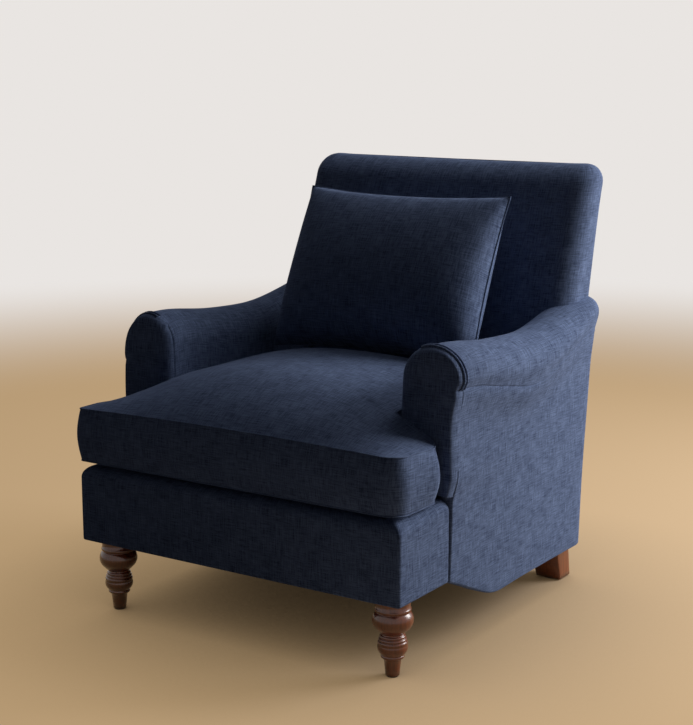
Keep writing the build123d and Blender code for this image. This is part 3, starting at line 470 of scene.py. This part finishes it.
def base_grid():
    """Rounded rectangle in plan, carried up a side view: turned under, up the face, over a soft top edge, closed.

    The top edge is a quarter circle, wide at the sides and narrow in front. The front swells a little, and its top
    dips towards the edge as a smoothstep, which leaves a shadow under the cushion.
    """
    face = np.linspace(BASE_LOW + HEM_ROUND, BASE_TOP - SIDE_ROUND, 14)
    turn = np.radians(np.linspace(8, 90, 12))
    z = np.r_[BASE_HEM[:, 0], face, BASE_TOP - SIDE_ROUND + SIDE_ROUND * np.sin(turn), BASE_LID[:, 0]]
    under = np.r_[BASE_HEM[:, 1], 0 * face, 0 * turn, BASE_LID[:, 1]]
    tall = BASE_TOP - BASE_LOW
    over_side, over_front = (rounding(radius, BASE_TOP - z) for radius in (SIDE_ROUND, FRONT_ROUND))
    puff = BASE_PUFF * np.clip(np.sin(np.pi * (z - BASE_LOW) / tall), 0, 1) * (under < BASE_CORNER)
    half_x = BASE_HALF - under - over_side
    half_y = (BASE_REAR - BASE_FRONT) / 2 - under - over_front
    grid = stacked(ring(half_x, half_y, np.clip(BASE_CORNER - under, 0.6, BASE_CORNER), side=40), z)
    grid[..., 1] += (BASE_FRONT + BASE_REAR) / 2
    near = np.clip((BASE_FRONT + DIP_START - grid[..., 1]) / DIP_LENGTH, 0, 1)
    up = np.clip((grid[..., 2] - BASE_LOW) / tall, 0, 1)
    grid[..., 2] -= FRONT_DIP * up * smoothstep(near)
    front = grid[..., 1] < BASE_FRONT + FRONT_STRIP
    grid[..., 1] -= front * puff[:, None] * np.clip(np.cos(np.pi * grid[..., 0] / (2 * BASE_HALF)), 0, 1) ** 0.5
    return capped(grid)


base = skin("base_cloth", [base_grid()], cloth)
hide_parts("base_cover", "base_pad")


# Arms


def arm_section(y, roll):
    """Cross-section of an arm at each Y: up the seat side, over the roll, down to the crease and the outside panel.

    The roll is two quarter ellipses, and the tuck under it a smoothstep. Below the crease the panel falls in from
    the roll as a bell curve of the height, and it flares out at the arm's front, just above the base. The crease
    is a narrow groove in front and a thin ridge behind.
    """
    y = y[:, None]
    crest, crease, low = (spline(y, table) for table in (CREST, CREASE, SKIRT))
    over, widest = (spline(y, table) for table in roll)
    crease = np.minimum(crease, widest - CREASE_DROP)
    flare = ARM_FLARE * np.exp((ARM_FRONT - y) / FLARE_FADE)
    x_out = BASE_HALF + over
    middle, half = (ARM_INNER + x_out) / 2, (x_out - ARM_INNER) / 2
    spring = crest - ROLL_HALF
    t = np.linspace(0, 1, ROLL_STEPS + 1)[None, :]
    side = (ARM_INNER - SIDE_HOLLOW * np.sin(np.pi * t) + 0 * y, ARM_LOW + (spring - ARM_LOW) * t)
    turn = t[:, 1:] * np.pi / 2
    inner = (middle - half * np.cos(turn), spring + ROLL_HALF * np.sin(turn))
    outer = (middle + half * np.sin(turn), widest + (crest - widest) * np.cos(turn))
    # Points crowd together towards the crease
    s = 1 - (1 - np.linspace(0, 1, TUCK_STEPS + 1)[None, 1:]) ** 1.6
    groove = np.interp(y, *GROOVE) - np.interp(y, *RIDGE)
    groove = groove * bell((s - CREASE_PLACE) * (widest - crease), CREASE_WIDTH)
    tuck_in = np.clip(over - flare, 0, ROLL_TUCK)
    tuck = (x_out - tuck_in * smoothstep(s) - groove, widest + (crease - widest) * s)
    fall = np.linspace(0, 1, PANEL_STEPS + 1)[None, 1:]
    panel_z = crease + (low + HEM_ROUND - crease) * fall
    rise = np.clip((panel_z - FLARE_LOW) / FLARE_RISE, 0, 1)
    cove = (over - tuck_in - flare) * bell(crease - panel_z, COVE)
    panel = (BASE_HALF + flare * smoothstep(rise) + cove + PANEL_SWELL * np.sin(np.pi * fall), panel_z)
    hem_turn = np.linspace(0, np.pi / 2, 6)[None, 1:]
    hem_x, hem_z = BASE_HALF - HEM_ROUND, low + HEM_ROUND
    hem = (hem_x + HEM_ROUND * np.cos(hem_turn) + 0 * y, hem_z - HEM_ROUND * np.sin(hem_turn))
    under_z = np.concatenate([low, low + FOLD_RISE, ARM_LOW + 0 * y], 1)
    under = (np.array([[*FOLD_X, ARM_INNER]]) + 0 * y, under_z)
    parts = (side, inner, outer, tuck, panel, hem, under)
    return (np.concatenate([part[axis] for part in parts], 1) for axis in (0, 1))


def arm_grid(roll):
    """The arm's section carried back along Y, then swung a quarter turn round the chair's rear corner.

    What overhangs there is drawn in on the way, as a squared sine, so that the arm ends flush with the rear panel.
    Its cloth is laid out by Y and, up from the crease and down from it, by length along the section.
    """
    y = np.linspace(ARM_FRONT, ARM_REAR, 80)
    x, z = arm_section(y, roll)
    corner = rear(z) - REAR_ROUND
    share = (y[:, None] - ARM_FRONT) / (ARM_REAR - ARM_FRONT)
    straight = np.stack([x, ARM_FRONT + share * (corner - ARM_FRONT), z], -1)
    # The padding is uneven outside and on the roll, but not where it meets the seat
    straight[..., 0] += ripple(straight, length=260, height=0.9) * (x > 300)
    straight[..., 2] += ripple(straight, length=190, height=0.7) * (z > 400)
    pivot = BASE_HALF - REAR_ROUND
    turn = np.linspace(0, np.pi / 2, 13)[1:, None]
    reach = np.clip(straight[-1:, :, 0] - pivot, 0, None)
    reach = reach - np.clip(reach - REAR_ROUND, 0, None) * np.sin(turn) ** 2
    swung = np.stack(
        [pivot + reach * np.cos(turn), straight[-1:, :, 1] + reach * np.sin(turn), straight[-1:, :, 2] + 0 * turn], -1
    )
    grid = capped(np.concatenate([straight, swung]))
    around = lengths(grid, 1)
    up = (grid[:, CREASE_COLUMN, 2] * MM + around[:, CREASE_COLUMN])[:, None] - around
    along = lengths(grid[:, PANEL_COLUMN], 0)
    return grid, np.stack(np.broadcast_arrays(along[:, None], up), -1)


def facing_outline(roll):
    """The arm's section at its front, cut off level with the top of the base, as a closed loop of X and Z."""
    x, z = (row[0] for row in arm_section(np.array([ARM_FRONT]), roll))
    keep = np.r_[True, z[1:-3] > ARM_LOW + 1, False, False, False]
    x, z = x[keep], z[keep]
    share = np.linspace(1, 0, 12)
    x = np.r_[x, ARM_INNER + (x[-1] - ARM_INNER) * share]
    z = np.r_[z, ARM_LOW + 0 * share]
    return x, z


def facing_grid(roll):
    """Padded arm front: rings from the outline in to an upright spine, each further forward, as a quarter round.

    The round is wide on the seat side and narrow on the outside. Its cloth is laid out by X and Z, and spreads
    out from the spine where it turns back round the edge.
    """
    x, z = facing_outline(roll)
    spine_x, spine_z = SPINE_X + 0 * z, np.clip(z, SPINE_LOW, SPINE_TOP)
    # A closing row behind, then rings that crowd together towards the outline
    share = np.r_[0.03, 0, np.linspace(0, 1, 21)[1:] ** 1.5][:, None]
    ring_x, ring_z = x + (spine_x - x) * share, z + (spine_z - z) * share
    inward = np.hypot(ring_x - x, ring_z - z)
    edge = np.interp(x, *FACING_EDGE)
    swell = FACING_SWELL + BELLY * bell(ring_z - BELLY_Z, BELLY_HALF)
    depth = swell * np.sqrt(1 - (1 - np.minimum(inward / edge, 1)) ** 2)
    depth[0] = -FACING_BEHIND
    spread = (swell - depth) / np.maximum(np.hypot(x - spine_x, z - spine_z), 1)
    flat = np.stack([ring_x + spread * (x - spine_x), ring_z + spread * (z - spine_z)], -1) * MM
    return np.stack([ring_x, ARM_FRONT - depth, ring_z], -1), flat


def welt_grids(roll, radius):
    """Double piping: two tubes along the arm front's outline, from the top of the roll to the crease outside."""
    x, z = facing_outline(roll)
    first = int(np.argmax((x > PIPING_START[0]) & (z > PIPING_START[1])))
    line = np.stack([x, 0 * x, z], -1)[first : CREASE_COLUMN - 2]
    away = line - ROLL_MIDDLE
    away /= np.linalg.norm(away, axis=1)[:, None]
    paths = [line + out * away + np.array([0, ARM_FRONT + back, 0]) for out, back in PIPING_PAIR]
    return [capped(tube(path, radius, away)) for path in paths]


piping = []
for side, turn in (("right", np.copy), ("left", mirrored)):
    arm, arm_flat = arm_grid(ROLLS[side])
    arm_cloth = skin(f"arm_cloth_{side}", [turn(arm)], cloth, [arm_flat])
    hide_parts(f"arm_cover_{side}", f"arm_pad_{side}", f"outside_arm_{side}")
    facing, facing_flat = facing_grid(ROLLS[side])
    arm_front = skin(f"arm_front_{side}", [turn(facing)], cloth, [facing_flat])
    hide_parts(f"arm_facing_{side}")
    piping += [turn(grid) for grid in welt_grids(ROLLS[side], PIPING_RADIUS[side])]
welts = skin("arm_piping", piping, cloth)
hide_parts("facing_welts")


# Back


def back_grid():
    """Rounded rectangles stacked up the back: narrow between the arms, wide above them, rounded over at the top.

    The front is plump: it swells most half-way up and across. The top corners are drawn out a little.
    """
    turn = np.radians(np.linspace(0, 90, 10))
    rise = CHAIR_TOP - BACK_TOP_ROUND
    straight = np.r_[BACK_ROWS, np.linspace(600, rise - 8, 26)]
    z = np.r_[straight, rise + BACK_TOP_ROUND * np.sin(turn), CHAIR_TOP, CHAIR_TOP]
    inset = np.r_[0 * straight, BACK_TOP_ROUND * (1 - np.cos(turn)), BACK_LID]
    drawn = np.minimum(inset, (rear(z) - back_face(z)) / 2 - BACK_THINNEST)
    front, behind = back_face(z) + drawn, rear(z) - drawn
    half_y = (behind - front) / 2
    corner = np.minimum(np.clip(BACK_ROUND - inset * 0.3, 4, None), half_y - 0.5)
    grid = stacked(ring(np.interp(z, *BACK_WIDTH) - inset, half_y, corner, side=40), z)
    ahead = np.clip(-grid[..., 1] / half_y[:, None], 0, 1) ** 2
    grid[..., 1] += ((front + behind) / 2)[:, None]
    across = np.clip(1 - (grid[..., 0] / BACK_HALF) ** 2, 0, 1)
    height = np.clip((grid[..., 2] - PLUMP_LOW) / (CHAIR_TOP - PLUMP_LOW), 0, 1)
    grid[..., 1] -= BACK_PLUMP * ahead * across**0.6 * np.sin(np.pi * height) ** 0.8
    high = bell(grid[..., 2] - CHAIR_TOP, TIP_TALL)
    tip = high * bell(np.abs(grid[..., 0]) - BACK_HALF + TIP_INSET, TIP_WIDE)
    grid[..., 0] += np.sign(grid[..., 0]) * TIP_OUT * tip
    grid[..., 2] += TIP_UP * tip - TOP_SAG * high * across
    grid[..., 1] += ripple(grid, length=230, height=1.0)
    return capped(grid)


back = skin("back_cloth", [back_grid()], cloth)
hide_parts("inside_back", "back_pad", "back_side_cover_left", "back_side_cover_right")


def rear_panel_grid():
    """The plain outside back: a sheet on the rear's curve, tucked in along its edges as an exponential."""
    x, z = np.meshgrid(np.linspace(-PANEL_HALF, PANEL_HALF, 60), np.linspace(PANEL_LOW, PANEL_TOP, 70))
    edge = np.minimum(PANEL_HALF - np.abs(x), np.minimum(z - PANEL_LOW, PANEL_TOP - z))
    proud = PROUD * (1 - np.exp(-edge / PROUD_REACH)) - EDGE_TUCK * np.exp(-edge / EDGE_REACH)
    return np.stack([x, rear(z) + proud, z], -1)


rear_panel = skin("rear_panel", [rear_panel_grid()], cloth)
thick = rear_panel.modifiers.new("thickness", "SOLIDIFY")
thick.thickness, thick.offset = PANEL_THICK * MM, -1
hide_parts("outside_back")


# Seat cushion and pillow


def settle(piece, seams, pressure, cap):
    """Blow a sewn cover up with cloth simulation, its seams held, and cap how far each point moves."""
    start = np.empty(len(piece.data.vertices) * 3, np.float32)
    piece.data.vertices.foreach_get("co", start)
    held = piece.vertex_groups.new(name="seams")
    held.add(np.concatenate(seams).tolist(), 1.0, "REPLACE")
    blow = piece.modifiers.new("cloth", "CLOTH")
    blow.settings.quality = 6
    blow.settings.mass = 0.35
    blow.settings.tension_stiffness = blow.settings.compression_stiffness = 18
    blow.settings.shear_stiffness = 8
    blow.settings.bending_stiffness = 1.5
    blow.settings.use_pressure = True
    blow.settings.uniform_pressure_force = pressure
    blow.settings.effector_weights.gravity = 0
    blow.settings.vertex_group_mass = held.name
    for step in range(SETTLE_STEPS):
        bpy.context.scene.frame_set(step + 1)
    blown = piece.evaluated_get(bpy.context.evaluated_depsgraph_get()).data
    end = np.empty_like(start)
    blown.vertices.foreach_get("co", end)
    piece.modifiers.remove(blow)
    piece.vertex_groups.remove(held)
    bpy.context.scene.frame_set(1)
    move = (end - start).reshape(-1, 3)
    far = np.linalg.norm(move, axis=1)[:, None]
    return start.reshape(-1, 3) + move * np.minimum(1, cap * MM / np.maximum(far, 1e-9))


def set_points(piece, points):
    """Put the points, in metres, into the piece's mesh."""
    piece.data.vertices.foreach_set("co", points.astype(np.float32).ravel())
    piece.data.update()


def cushion_lattice():
    """X and Y of the lattice that both T-shaped panels share, the row where the ears end, and one ear's columns.

    Rows near the ears' ends lie at equal angles of their round corners, and the ears' columns are drawn in to those
    circles.
    """
    level = 1 - np.cos(np.linspace(0, np.pi / 2, 7))
    straight = np.linspace(CUSHION_FRONT + CORNER_ROUND[1], EAR_BACK - EAR_ROUND, 9)[1:-1]
    ear_y = np.r_[CUSHION_FRONT + CORNER_ROUND[1] * level, straight, (EAR_BACK - EAR_ROUND * level)[::-1]]
    y = np.r_[ear_y, np.linspace(EAR_BACK, CUSHION_REAR, 46)[1:]]
    share = np.linspace(0, 1, 12)[1:]
    ears = {}
    for way, corner in CORNER_ROUND.items():
        drawn = rounding(corner, y - CUSHION_FRONT) + rounding(EAR_ROUND, EAR_BACK - y)
        ears[way] = way * (STEM_HALF + (CUSHION_HALF - drawn - STEM_HALF)[:, None] * share)
    stem = np.broadcast_to(np.linspace(-STEM_HALF, STEM_HALF, 54), (len(y), 54))
    x = np.concatenate([ears[-1][:, ::-1], stem, ears[1]], 1)
    return x, np.broadcast_to(y[:, None], x.shape), len(ear_y) - 1, len(share)


def cushion_top(x, y):
    """Height of the top panel: a dome on a seam that is bowed up in the middle as a parabola.

    The dome is a power of X times a quarter sine of Y from the front and from the rear. The ears droop behind.
    """
    fall_x = 1 - np.abs(x / CUSHION_HALF) ** CROWN_ACROSS
    from_front = np.clip((y - CUSHION_FRONT) / CROWN_FRONT, 0, 1)
    from_rear = np.clip((CUSHION_REAR + CROWN_PAST - y) / CROWN_REAR, 0, 1)
    fall_y = (np.sin(from_front * np.pi / 2) * np.sin(from_rear * np.pi / 2)) ** CROWN_ALONG
    droop = np.clip((y - CUSHION_FRONT - DROOP_START) / DROOP_LENGTH, 0, 1)
    droop = droop * np.clip((np.abs(x) - STEM_HALF) / DROOP_WIDTH, 0, 1)
    rise = SEAM_RISE * (1 - (x / CUSHION_HALF) ** 2)
    return CUSHION_SEAM + rise + CUSHION_CROWN * fall_x * fall_y - EAR_DROOP * droop


def cushion_outline(index, turn_row, ear):
    """The lattice's points round the edge of the T, and which of its cells lie inside."""
    left, right, last = ear, index.shape[1] - 1 - ear, len(index) - 1
    inside = np.zeros((index.shape[0] - 1, index.shape[1] - 1), bool)
    inside[:turn_row] = True
    inside[:, left:right] = True
    loop = np.r_[
        index[0, :-1],
        index[:turn_row, -1],
        index[turn_row, right + 1 :][::-1],
        index[turn_row:last, right],
        index[last, left + 1 : right + 1][::-1],
        index[turn_row + 1 :, left][::-1],
        index[turn_row, 1 : left + 1][::-1],
        index[1 : turn_row + 1, 0][::-1],
    ]
    return loop, inside


def boxing_strip(upper, lower):
    """Rows of points down from the top seam to the bottom seam, which swell half a sine outwards.

    They swell in front of the arms and at the ears, and stay straight against the arms.
    """
    share = np.linspace(0, 1, BOXING_STEPS + 1)[:, None, None]
    ahead = np.roll(lower, -1, 0) - np.roll(lower, 1, 0)
    aside = np.stack([ahead[:, 1], -ahead[:, 0], 0 * ahead[:, 0]], -1)
    aside /= np.linalg.norm(aside, axis=1)[:, None]
    away = np.hypot(np.abs(lower[:, :1]) - CUSHION_HALF, lower[:, 1:2] - EAR_BACK)
    bulge = BOXING_BULGE + EAR_BULGE * bell(away, EAR_BULGE_REACH)
    aside *= bulge * np.clip(1 - 1.1 * aside[:, 1:2], 0, 1) * (lower[:, 1:2] < EAR_BACK - 1)
    return upper + (lower - upper) * share + np.sin(np.pi * share) * aside


def cushion_mesh():
    """Top and bottom panels cut as a T, and a boxing strip between them, as points, faces and a flat pattern.

    Both panels are one lattice with the cells beside the stem left out. The bottom rises off the base at its front
    edge as a bell curve.
    """
    x, y, turn_row, ear = cushion_lattice()
    index = np.arange(x.size).reshape(x.shape)
    loop, inside = cushion_outline(index, turn_row, ear)
    cells = quads(index)[inside]
    bottom = CUSHION_LOW + FRONT_LIFT * bell(y - CUSHION_FRONT, LIFT_REACH)
    upper, lower = (np.stack([x, y, z], -1).reshape(-1, 3) for z in (cushion_top(x, y), bottom))
    used = np.unique(cells)
    place = np.full(x.size, -1)
    place[used] = np.arange(len(used))
    cells, seam = place[cells], place[loop]
    strip = boxing_strip(upper[loop], lower[loop])
    between = 2 * len(used) + np.arange((BOXING_STEPS - 1) * len(loop)).reshape(BOXING_STEPS - 1, -1)
    sewn = np.concatenate([seam[None], between, seam[None] + len(used)])
    sewn = np.concatenate([sewn, sewn[:, :1]], 1)
    outward = [0, 3, 2, 1]
    boxing = quads(sewn)[:, :, outward].reshape(-1, 4)
    points = np.concatenate([upper[used], lower[used], strip[1:-1].reshape(-1, 3)])
    faces = np.concatenate([cells, cells[:, ::-1] + len(used), boxing])
    strip = np.concatenate([strip, strip[:, :1]], 1)
    flat = np.stack([lengths(strip, 1), lengths(strip, 0)], -1)
    flat = quads(flat)[:, :, outward].reshape(-1, 2)
    panel = upper[used][:, :2] * MM
    uv = np.concatenate([panel[cells.ravel()], panel[cells[:, ::-1].ravel()], flat])
    return (points, faces, uv), (seam, seam + len(used))


def cushion_fit(points):
    """Keep the blown cushion flat below, clear of the arms beside its stem and clear of the zip behind."""
    x, y, z = points.T / MM
    z = np.maximum(z, CUSHION_LOW - 0.4)
    y = np.minimum(y, ROOM_REAR)
    room = np.where(y > EAR_BACK + 4, ROOM_STEM, ROOM_EARS)
    x = np.clip(x, -room, room)
    return np.stack([x, y, z], 1) * MM


def sew(piece, seams, name, radius, lift, beside):
    """Keep the piece's seams sharp when it is smoothed, and lay a thin self-welt along each, lifted outwards."""
    ends = np.empty(len(piece.data.edges) * 2, np.int32)
    piece.data.edges.foreach_get("vertices", ends)
    ends = np.sort(ends.reshape(-1, 2), 1)
    count = len(piece.data.vertices)
    pairs = np.concatenate([np.sort(np.stack([seam, np.roll(seam, -1)], 1), 1) for seam in seams])
    sharp = np.isin(ends[:, 0] * count + ends[:, 1], pairs[:, 0] * count + pairs[:, 1])
    crease = piece.data.attributes.new("crease_edge", "FLOAT", "EDGE")
    crease.data.foreach_set("value", SEAM_SHARPNESS * sharp.astype(np.float32))
    smooth = piece.modifiers.new("smooth", "SUBSURF")
    smooth.levels = smooth.render_levels = 1
    points = np.empty(count * 3, np.float32)
    piece.data.vertices.foreach_get("co", points)
    points = points.reshape(-1, 3).astype(float) / MM
    middle = points.mean(0)
    tubes = []
    for seam in seams:
        path = points[np.r_[seam, seam[0]]]
        away = (path - middle) * (1 - np.abs(beside))
        away /= np.linalg.norm(away, axis=1)[:, None]
        tubes.append(tube(path + lift * away, radius, beside + 0 * path, closed=True))
    return skin(name, tubes, cloth, body=piece["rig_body"])


cushion_parts, cushion_seams = cushion_mesh()
cushion = mesh_piece("seat_cushion", *cushion_parts, cloth, body="seat_cushion")
set_points(cushion, cushion_fit(settle(cushion, cushion_seams, pressure=4.0, cap=9)))
sew(cushion, cushion_seams, "cushion_welts", radius=1.4, lift=0.1, beside=np.array([0, 0, 1.0]))
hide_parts("seat_cushion_cover", "seat_cushion_core")


def pillow_mesh():
    """Two panels sewn edge to edge: each swells as a power of the distance from all four edges, most low down.

    The sides are drawn in between the corners, so that the corners stand out as points.
    """
    a, b = np.meshgrid(np.linspace(-1, 1, 55), np.linspace(-1, 1, 43))
    wide, tall, thick = PILLOW_HALF
    across = wide * a * (1 - DRAWN_SIDES * (1 - b**2))
    up = tall * b * (1 - DRAWN_ENDS * (1 - a**2))
    swell = thick * np.clip((1 - a**2) * (1 - b**2), 0, 1) ** PILLOW_POWER * (1 - LOW_FULLNESS * b)
    rise = np.array([0, np.sin(PILLOW_LEAN), np.cos(PILLOW_LEAN)])
    ahead = np.array([0, -np.cos(PILLOW_LEAN), np.sin(PILLOW_LEAN)])
    flat = PILLOW_MIDDLE + across[..., None] * np.array([1.0, 0, 0]) + up[..., None] * rise
    front, behind = (flat + way * swell[..., None] * ahead for way in (1, -1))
    index = np.arange(a.size).reshape(a.shape)
    index_behind = index.copy()
    index_behind[1:-1, 1:-1] = a.size + np.arange((len(a) - 2) * (len(a[0]) - 2)).reshape(len(a) - 2, -1)
    cells = [quads(grid).reshape(-1, 4) for grid in (index, index_behind)]
    points = np.concatenate([front.reshape(-1, 3), behind[1:-1, 1:-1].reshape(-1, 3)])
    uv = np.stack([across, up], -1).reshape(-1, 2)[cells[0].ravel()] * MM
    seam = np.r_[index[0, :-1], index[:-1, -1], index[-1, 1:][::-1], index[1:, 0][::-1]]
    return (points, np.concatenate(cells), np.concatenate([uv, uv])), (seam,), ahead


pillow_parts, pillow_seams, pillow_ahead = pillow_mesh()
pillow = mesh_piece("back_pillow", *pillow_parts, cloth, body="back_pillow")
set_points(pillow, settle(pillow, pillow_seams, pressure=3.0, cap=9))
sew(pillow, pillow_seams, "pillow_seam", radius=1.3, lift=0.2, beside=pillow_ahead)
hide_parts("pillow_cover", "pillow_filling")


# Deck under the cushion and dust cover under the chair


def deck_grid():
    """A flat padded panel: rounded rectangles from below, round a soft edge and in over the top."""
    inset, z = DECK_ROWS.T
    corner = np.clip(DECK_ROUND - inset, 0.5, DECK_ROUND)
    grid = stacked(ring(DECK_HALF[0] - inset, DECK_HALF[1] - inset, corner, side=30), z)
    grid[..., 1] += DECK_Y
    return capped(grid)


deck = skin("deck_cloth", [deck_grid()], lining, slot="lining")
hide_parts("deck_cover", "deck_pad")


def dust_grid():
    """Cloth stretched under the frame: level in front, a slope behind the base, level again to the rear."""
    start, bend, landing, end = DUST_LINE[0]
    y = np.r_[np.linspace(start, bend, 10), np.linspace(bend, landing, 16)[1:], np.linspace(landing, end, 16)[1:]]
    x, y = np.meshgrid(np.linspace(-DUST_HALF, DUST_HALF, 24), y)
    grid = np.stack([x, y, np.interp(y, *DUST_LINE)], -1)
    grid[..., 2] += ripple(grid, length=150, height=0.4)
    return grid


dust = skin("dust_cloth", [dust_grid()], lining, slot="lining")
thick = dust.modifiers.new("thickness", "SOLIDIFY")
thick.thickness = DUST_THICK * MM
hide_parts("dust_cover")


# Feet


def arc_points(corners, count=9):
    """Points from the first to the last corner: on the circle through all three, or on a straight line."""
    p = np.array(corners, float)
    t = np.linspace(0, 1, count)[:-1, None]
    if len(p) == 2:
        return p[0] + (p[1] - p[0]) * t[::4]
    system = 2 * np.array([p[1] - p[0], p[2] - p[0]])
    middle = np.linalg.solve(system, [p[1] @ p[1] - p[0] @ p[0], p[2] @ p[2] - p[0] @ p[0]])
    radius = np.hypot(*(p[0] - middle))
    start, end = (np.arctan2(*(q - middle)[::-1]) for q in (p[0], p[2]))
    sweep = (end - start + np.pi) % (2 * np.pi) - np.pi
    angle = start + sweep * t
    return middle + radius * np.concatenate([np.cos(angle), np.sin(angle)], 1)


def foot_grid(x):
    """Turned outline carried round the foot's upright axis."""
    outline = np.concatenate([arc_points(corners) for corners in FOOT_TURNING] + [[FOOT_TURNING[-1][-1]]])
    drop, radius = outline.T
    angle = np.linspace(0, 2 * np.pi, 49)[None, :]
    grid = [x + radius[:, None] * np.cos(angle), FOOT_Y + radius[:, None] * np.sin(angle)]
    return capped(np.stack([*grid, FOOT_TOP - drop[:, None] + 0 * angle], -1))


def leg_grid(side, way):
    """Square leg: rounded squares from its top to the floor, shrinking and moving outwards and back."""
    share = np.linspace(0, 1, 8)
    half_x, half_y = (half - LEG_TAPER * share for half in LEG_HALF)
    grid = stacked(ring(half_x, half_y, LEG_ROUND + 0 * share, side=4, arc=4), LEG_TOP - (LEG_TOP - GLIDE) * share)
    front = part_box(f"rear_leg_{side}")[0][1] / MM
    grid[..., 0] += way * (LEG_X + SPLAY_OUT * share)[:, None]
    grid[..., 1] += (front + LEG_HALF[1] + SPLAY_BACK * share)[:, None]
    return capped(grid)


for side, way in (("right", 1), ("left", -1)):
    foot = skin(f"turned_foot_{side}", [foot_grid(way * FOOT_X)], walnut, slot="walnut")
    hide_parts(f"front_foot_{side}")
    leg = skin(f"splayed_leg_{side}", [leg_grid(side, way)], walnut, slot="walnut")
    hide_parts(f"rear_leg_{side}")


# Room, light and camera


def seen_directly(tree):
    """1 where the eye, a mirror or a glass sees a surface, 0 where it only lights other things."""
    path = node(tree, "LightPath").outputs
    either = node(tree, "Math", {0: path["Is Camera Ray"], 1: path["Is Glossy Ray"]}, operation="MAXIMUM")
    return node(tree, "Math", {0: either.outputs[0], 1: path["Is Transmission Ray"]}, operation="MAXIMUM").outputs[0]


WALL, FADE_START, FADE_END = "#e9e5e2", 2.2, 5.0
floor_material, tree = new_material("pale_floor")
seen = seen_directly(tree)
# The floor gives soft light back to the chair. It looks plain and pale, as under a wide even ceiling, and keeps the
# chair's shadow. Close to the chair its glow is darkened by ambient occlusion, a painted shadow, and a few metres
# away it fades into the wall's colour.
bounce = node(tree, "BsdfDiffuse", {"Color": linear("#bfb2a2")})
matt = node(tree, "BsdfDiffuse", {"Color": linear("#8a7a68")})
# Ambient occlusion darkens the floor's glow close to the chair: a painted shadow
near = node(tree, "AmbientOcclusion", {"Color": linear("#e4c090"), "Distance": 0.5}, samples=12)
glow_with_painted_shade = node(tree, "Emission", {"Color": near.outputs["Color"], "Strength": 0.56})
lit = node(tree, "AddShader", {0: matt.outputs[0], 1: glow_with_painted_shade.outputs[0]})
wall = node(tree, "Emission", {"Color": linear(WALL)})
where = node(tree, "TexCoord").outputs["Object"]
distance = node(tree, "VectorMath", {0: where}, operation="LENGTH").outputs["Value"]
fade = node(tree, "MapRange", {0: distance, 1: FADE_START, 2: FADE_END}, interpolation_type="SMOOTHSTEP").outputs[0]
look = node(tree, "MixShader", {0: fade, 1: lit.outputs[0], 2: wall.outputs[0]})
both = node(tree, "MixShader", {0: seen, 1: bounce.outputs[0], 2: look.outputs[0]})
node(tree, "OutputMaterial", {"Surface": both.outputs[0]})
floor_mesh = bpy.data.meshes.new("floor")
floor_mesh.from_pydata([(-30, -30, 0), (30, -30, 0), (30, 30, 0), (-30, 30, 0)], [], [(0, 1, 2, 3)])
floor_mesh.materials.append(floor_material)
floor = bpy.data.objects.new("floor", floor_mesh)
bpy.context.scene.collection.objects.link(floor)

world = bpy.data.worlds.new("room")
world.use_nodes = True
tree = world.node_tree
tree.nodes.clear()
soft = node(tree, "Background", {"Color": linear("#e8eefb"), "Strength": 0.033})
wall = node(tree, "Background", {"Color": linear(WALL), "Strength": 1.0})
both = node(tree, "MixShader", {0: seen_directly(tree), 1: soft.outputs[0], 2: wall.outputs[0]})
node(tree, "OutputWorld", {"Surface": both.outputs[0]})
bpy.context.scene.world = world

# A large soft window on the right, behind the chair, and a soft ceiling light above its back, both aimed at the seat
LIGHT_AIM = Vector((0.1, 0, 0.45))
for name, size, energy, place in (
    ("window", 1.3, 69, (1.85, 1.68, 1.35)),
    ("ceiling", 1.2, 13, (0.4, 1.2, 2.5)),
):
    light = bpy.data.lights.new(name, "AREA")
    light.size, light.energy = size, energy
    lamp = bpy.data.objects.new(name, light)
    lamp.location = place
    lamp.rotation_euler = (LIGHT_AIM - lamp.location).to_track_quat("-Z", "Y").to_euler()
    bpy.context.scene.collection.objects.link(lamp)

lens = bpy.data.cameras.new("camera")
lens.lens, lens.sensor_width = 79.8, 36.0
camera = bpy.data.objects.new("camera", lens)
camera.location = (1.8525, -2.8545, 1.1749)
camera.rotation_euler = np.radians((78.85, 0, 33.34))
bpy.context.scene.collection.objects.link(camera)
bpy.context.scene.camera = camera
bpy.context.scene.view_settings.view_transform = "Standard"
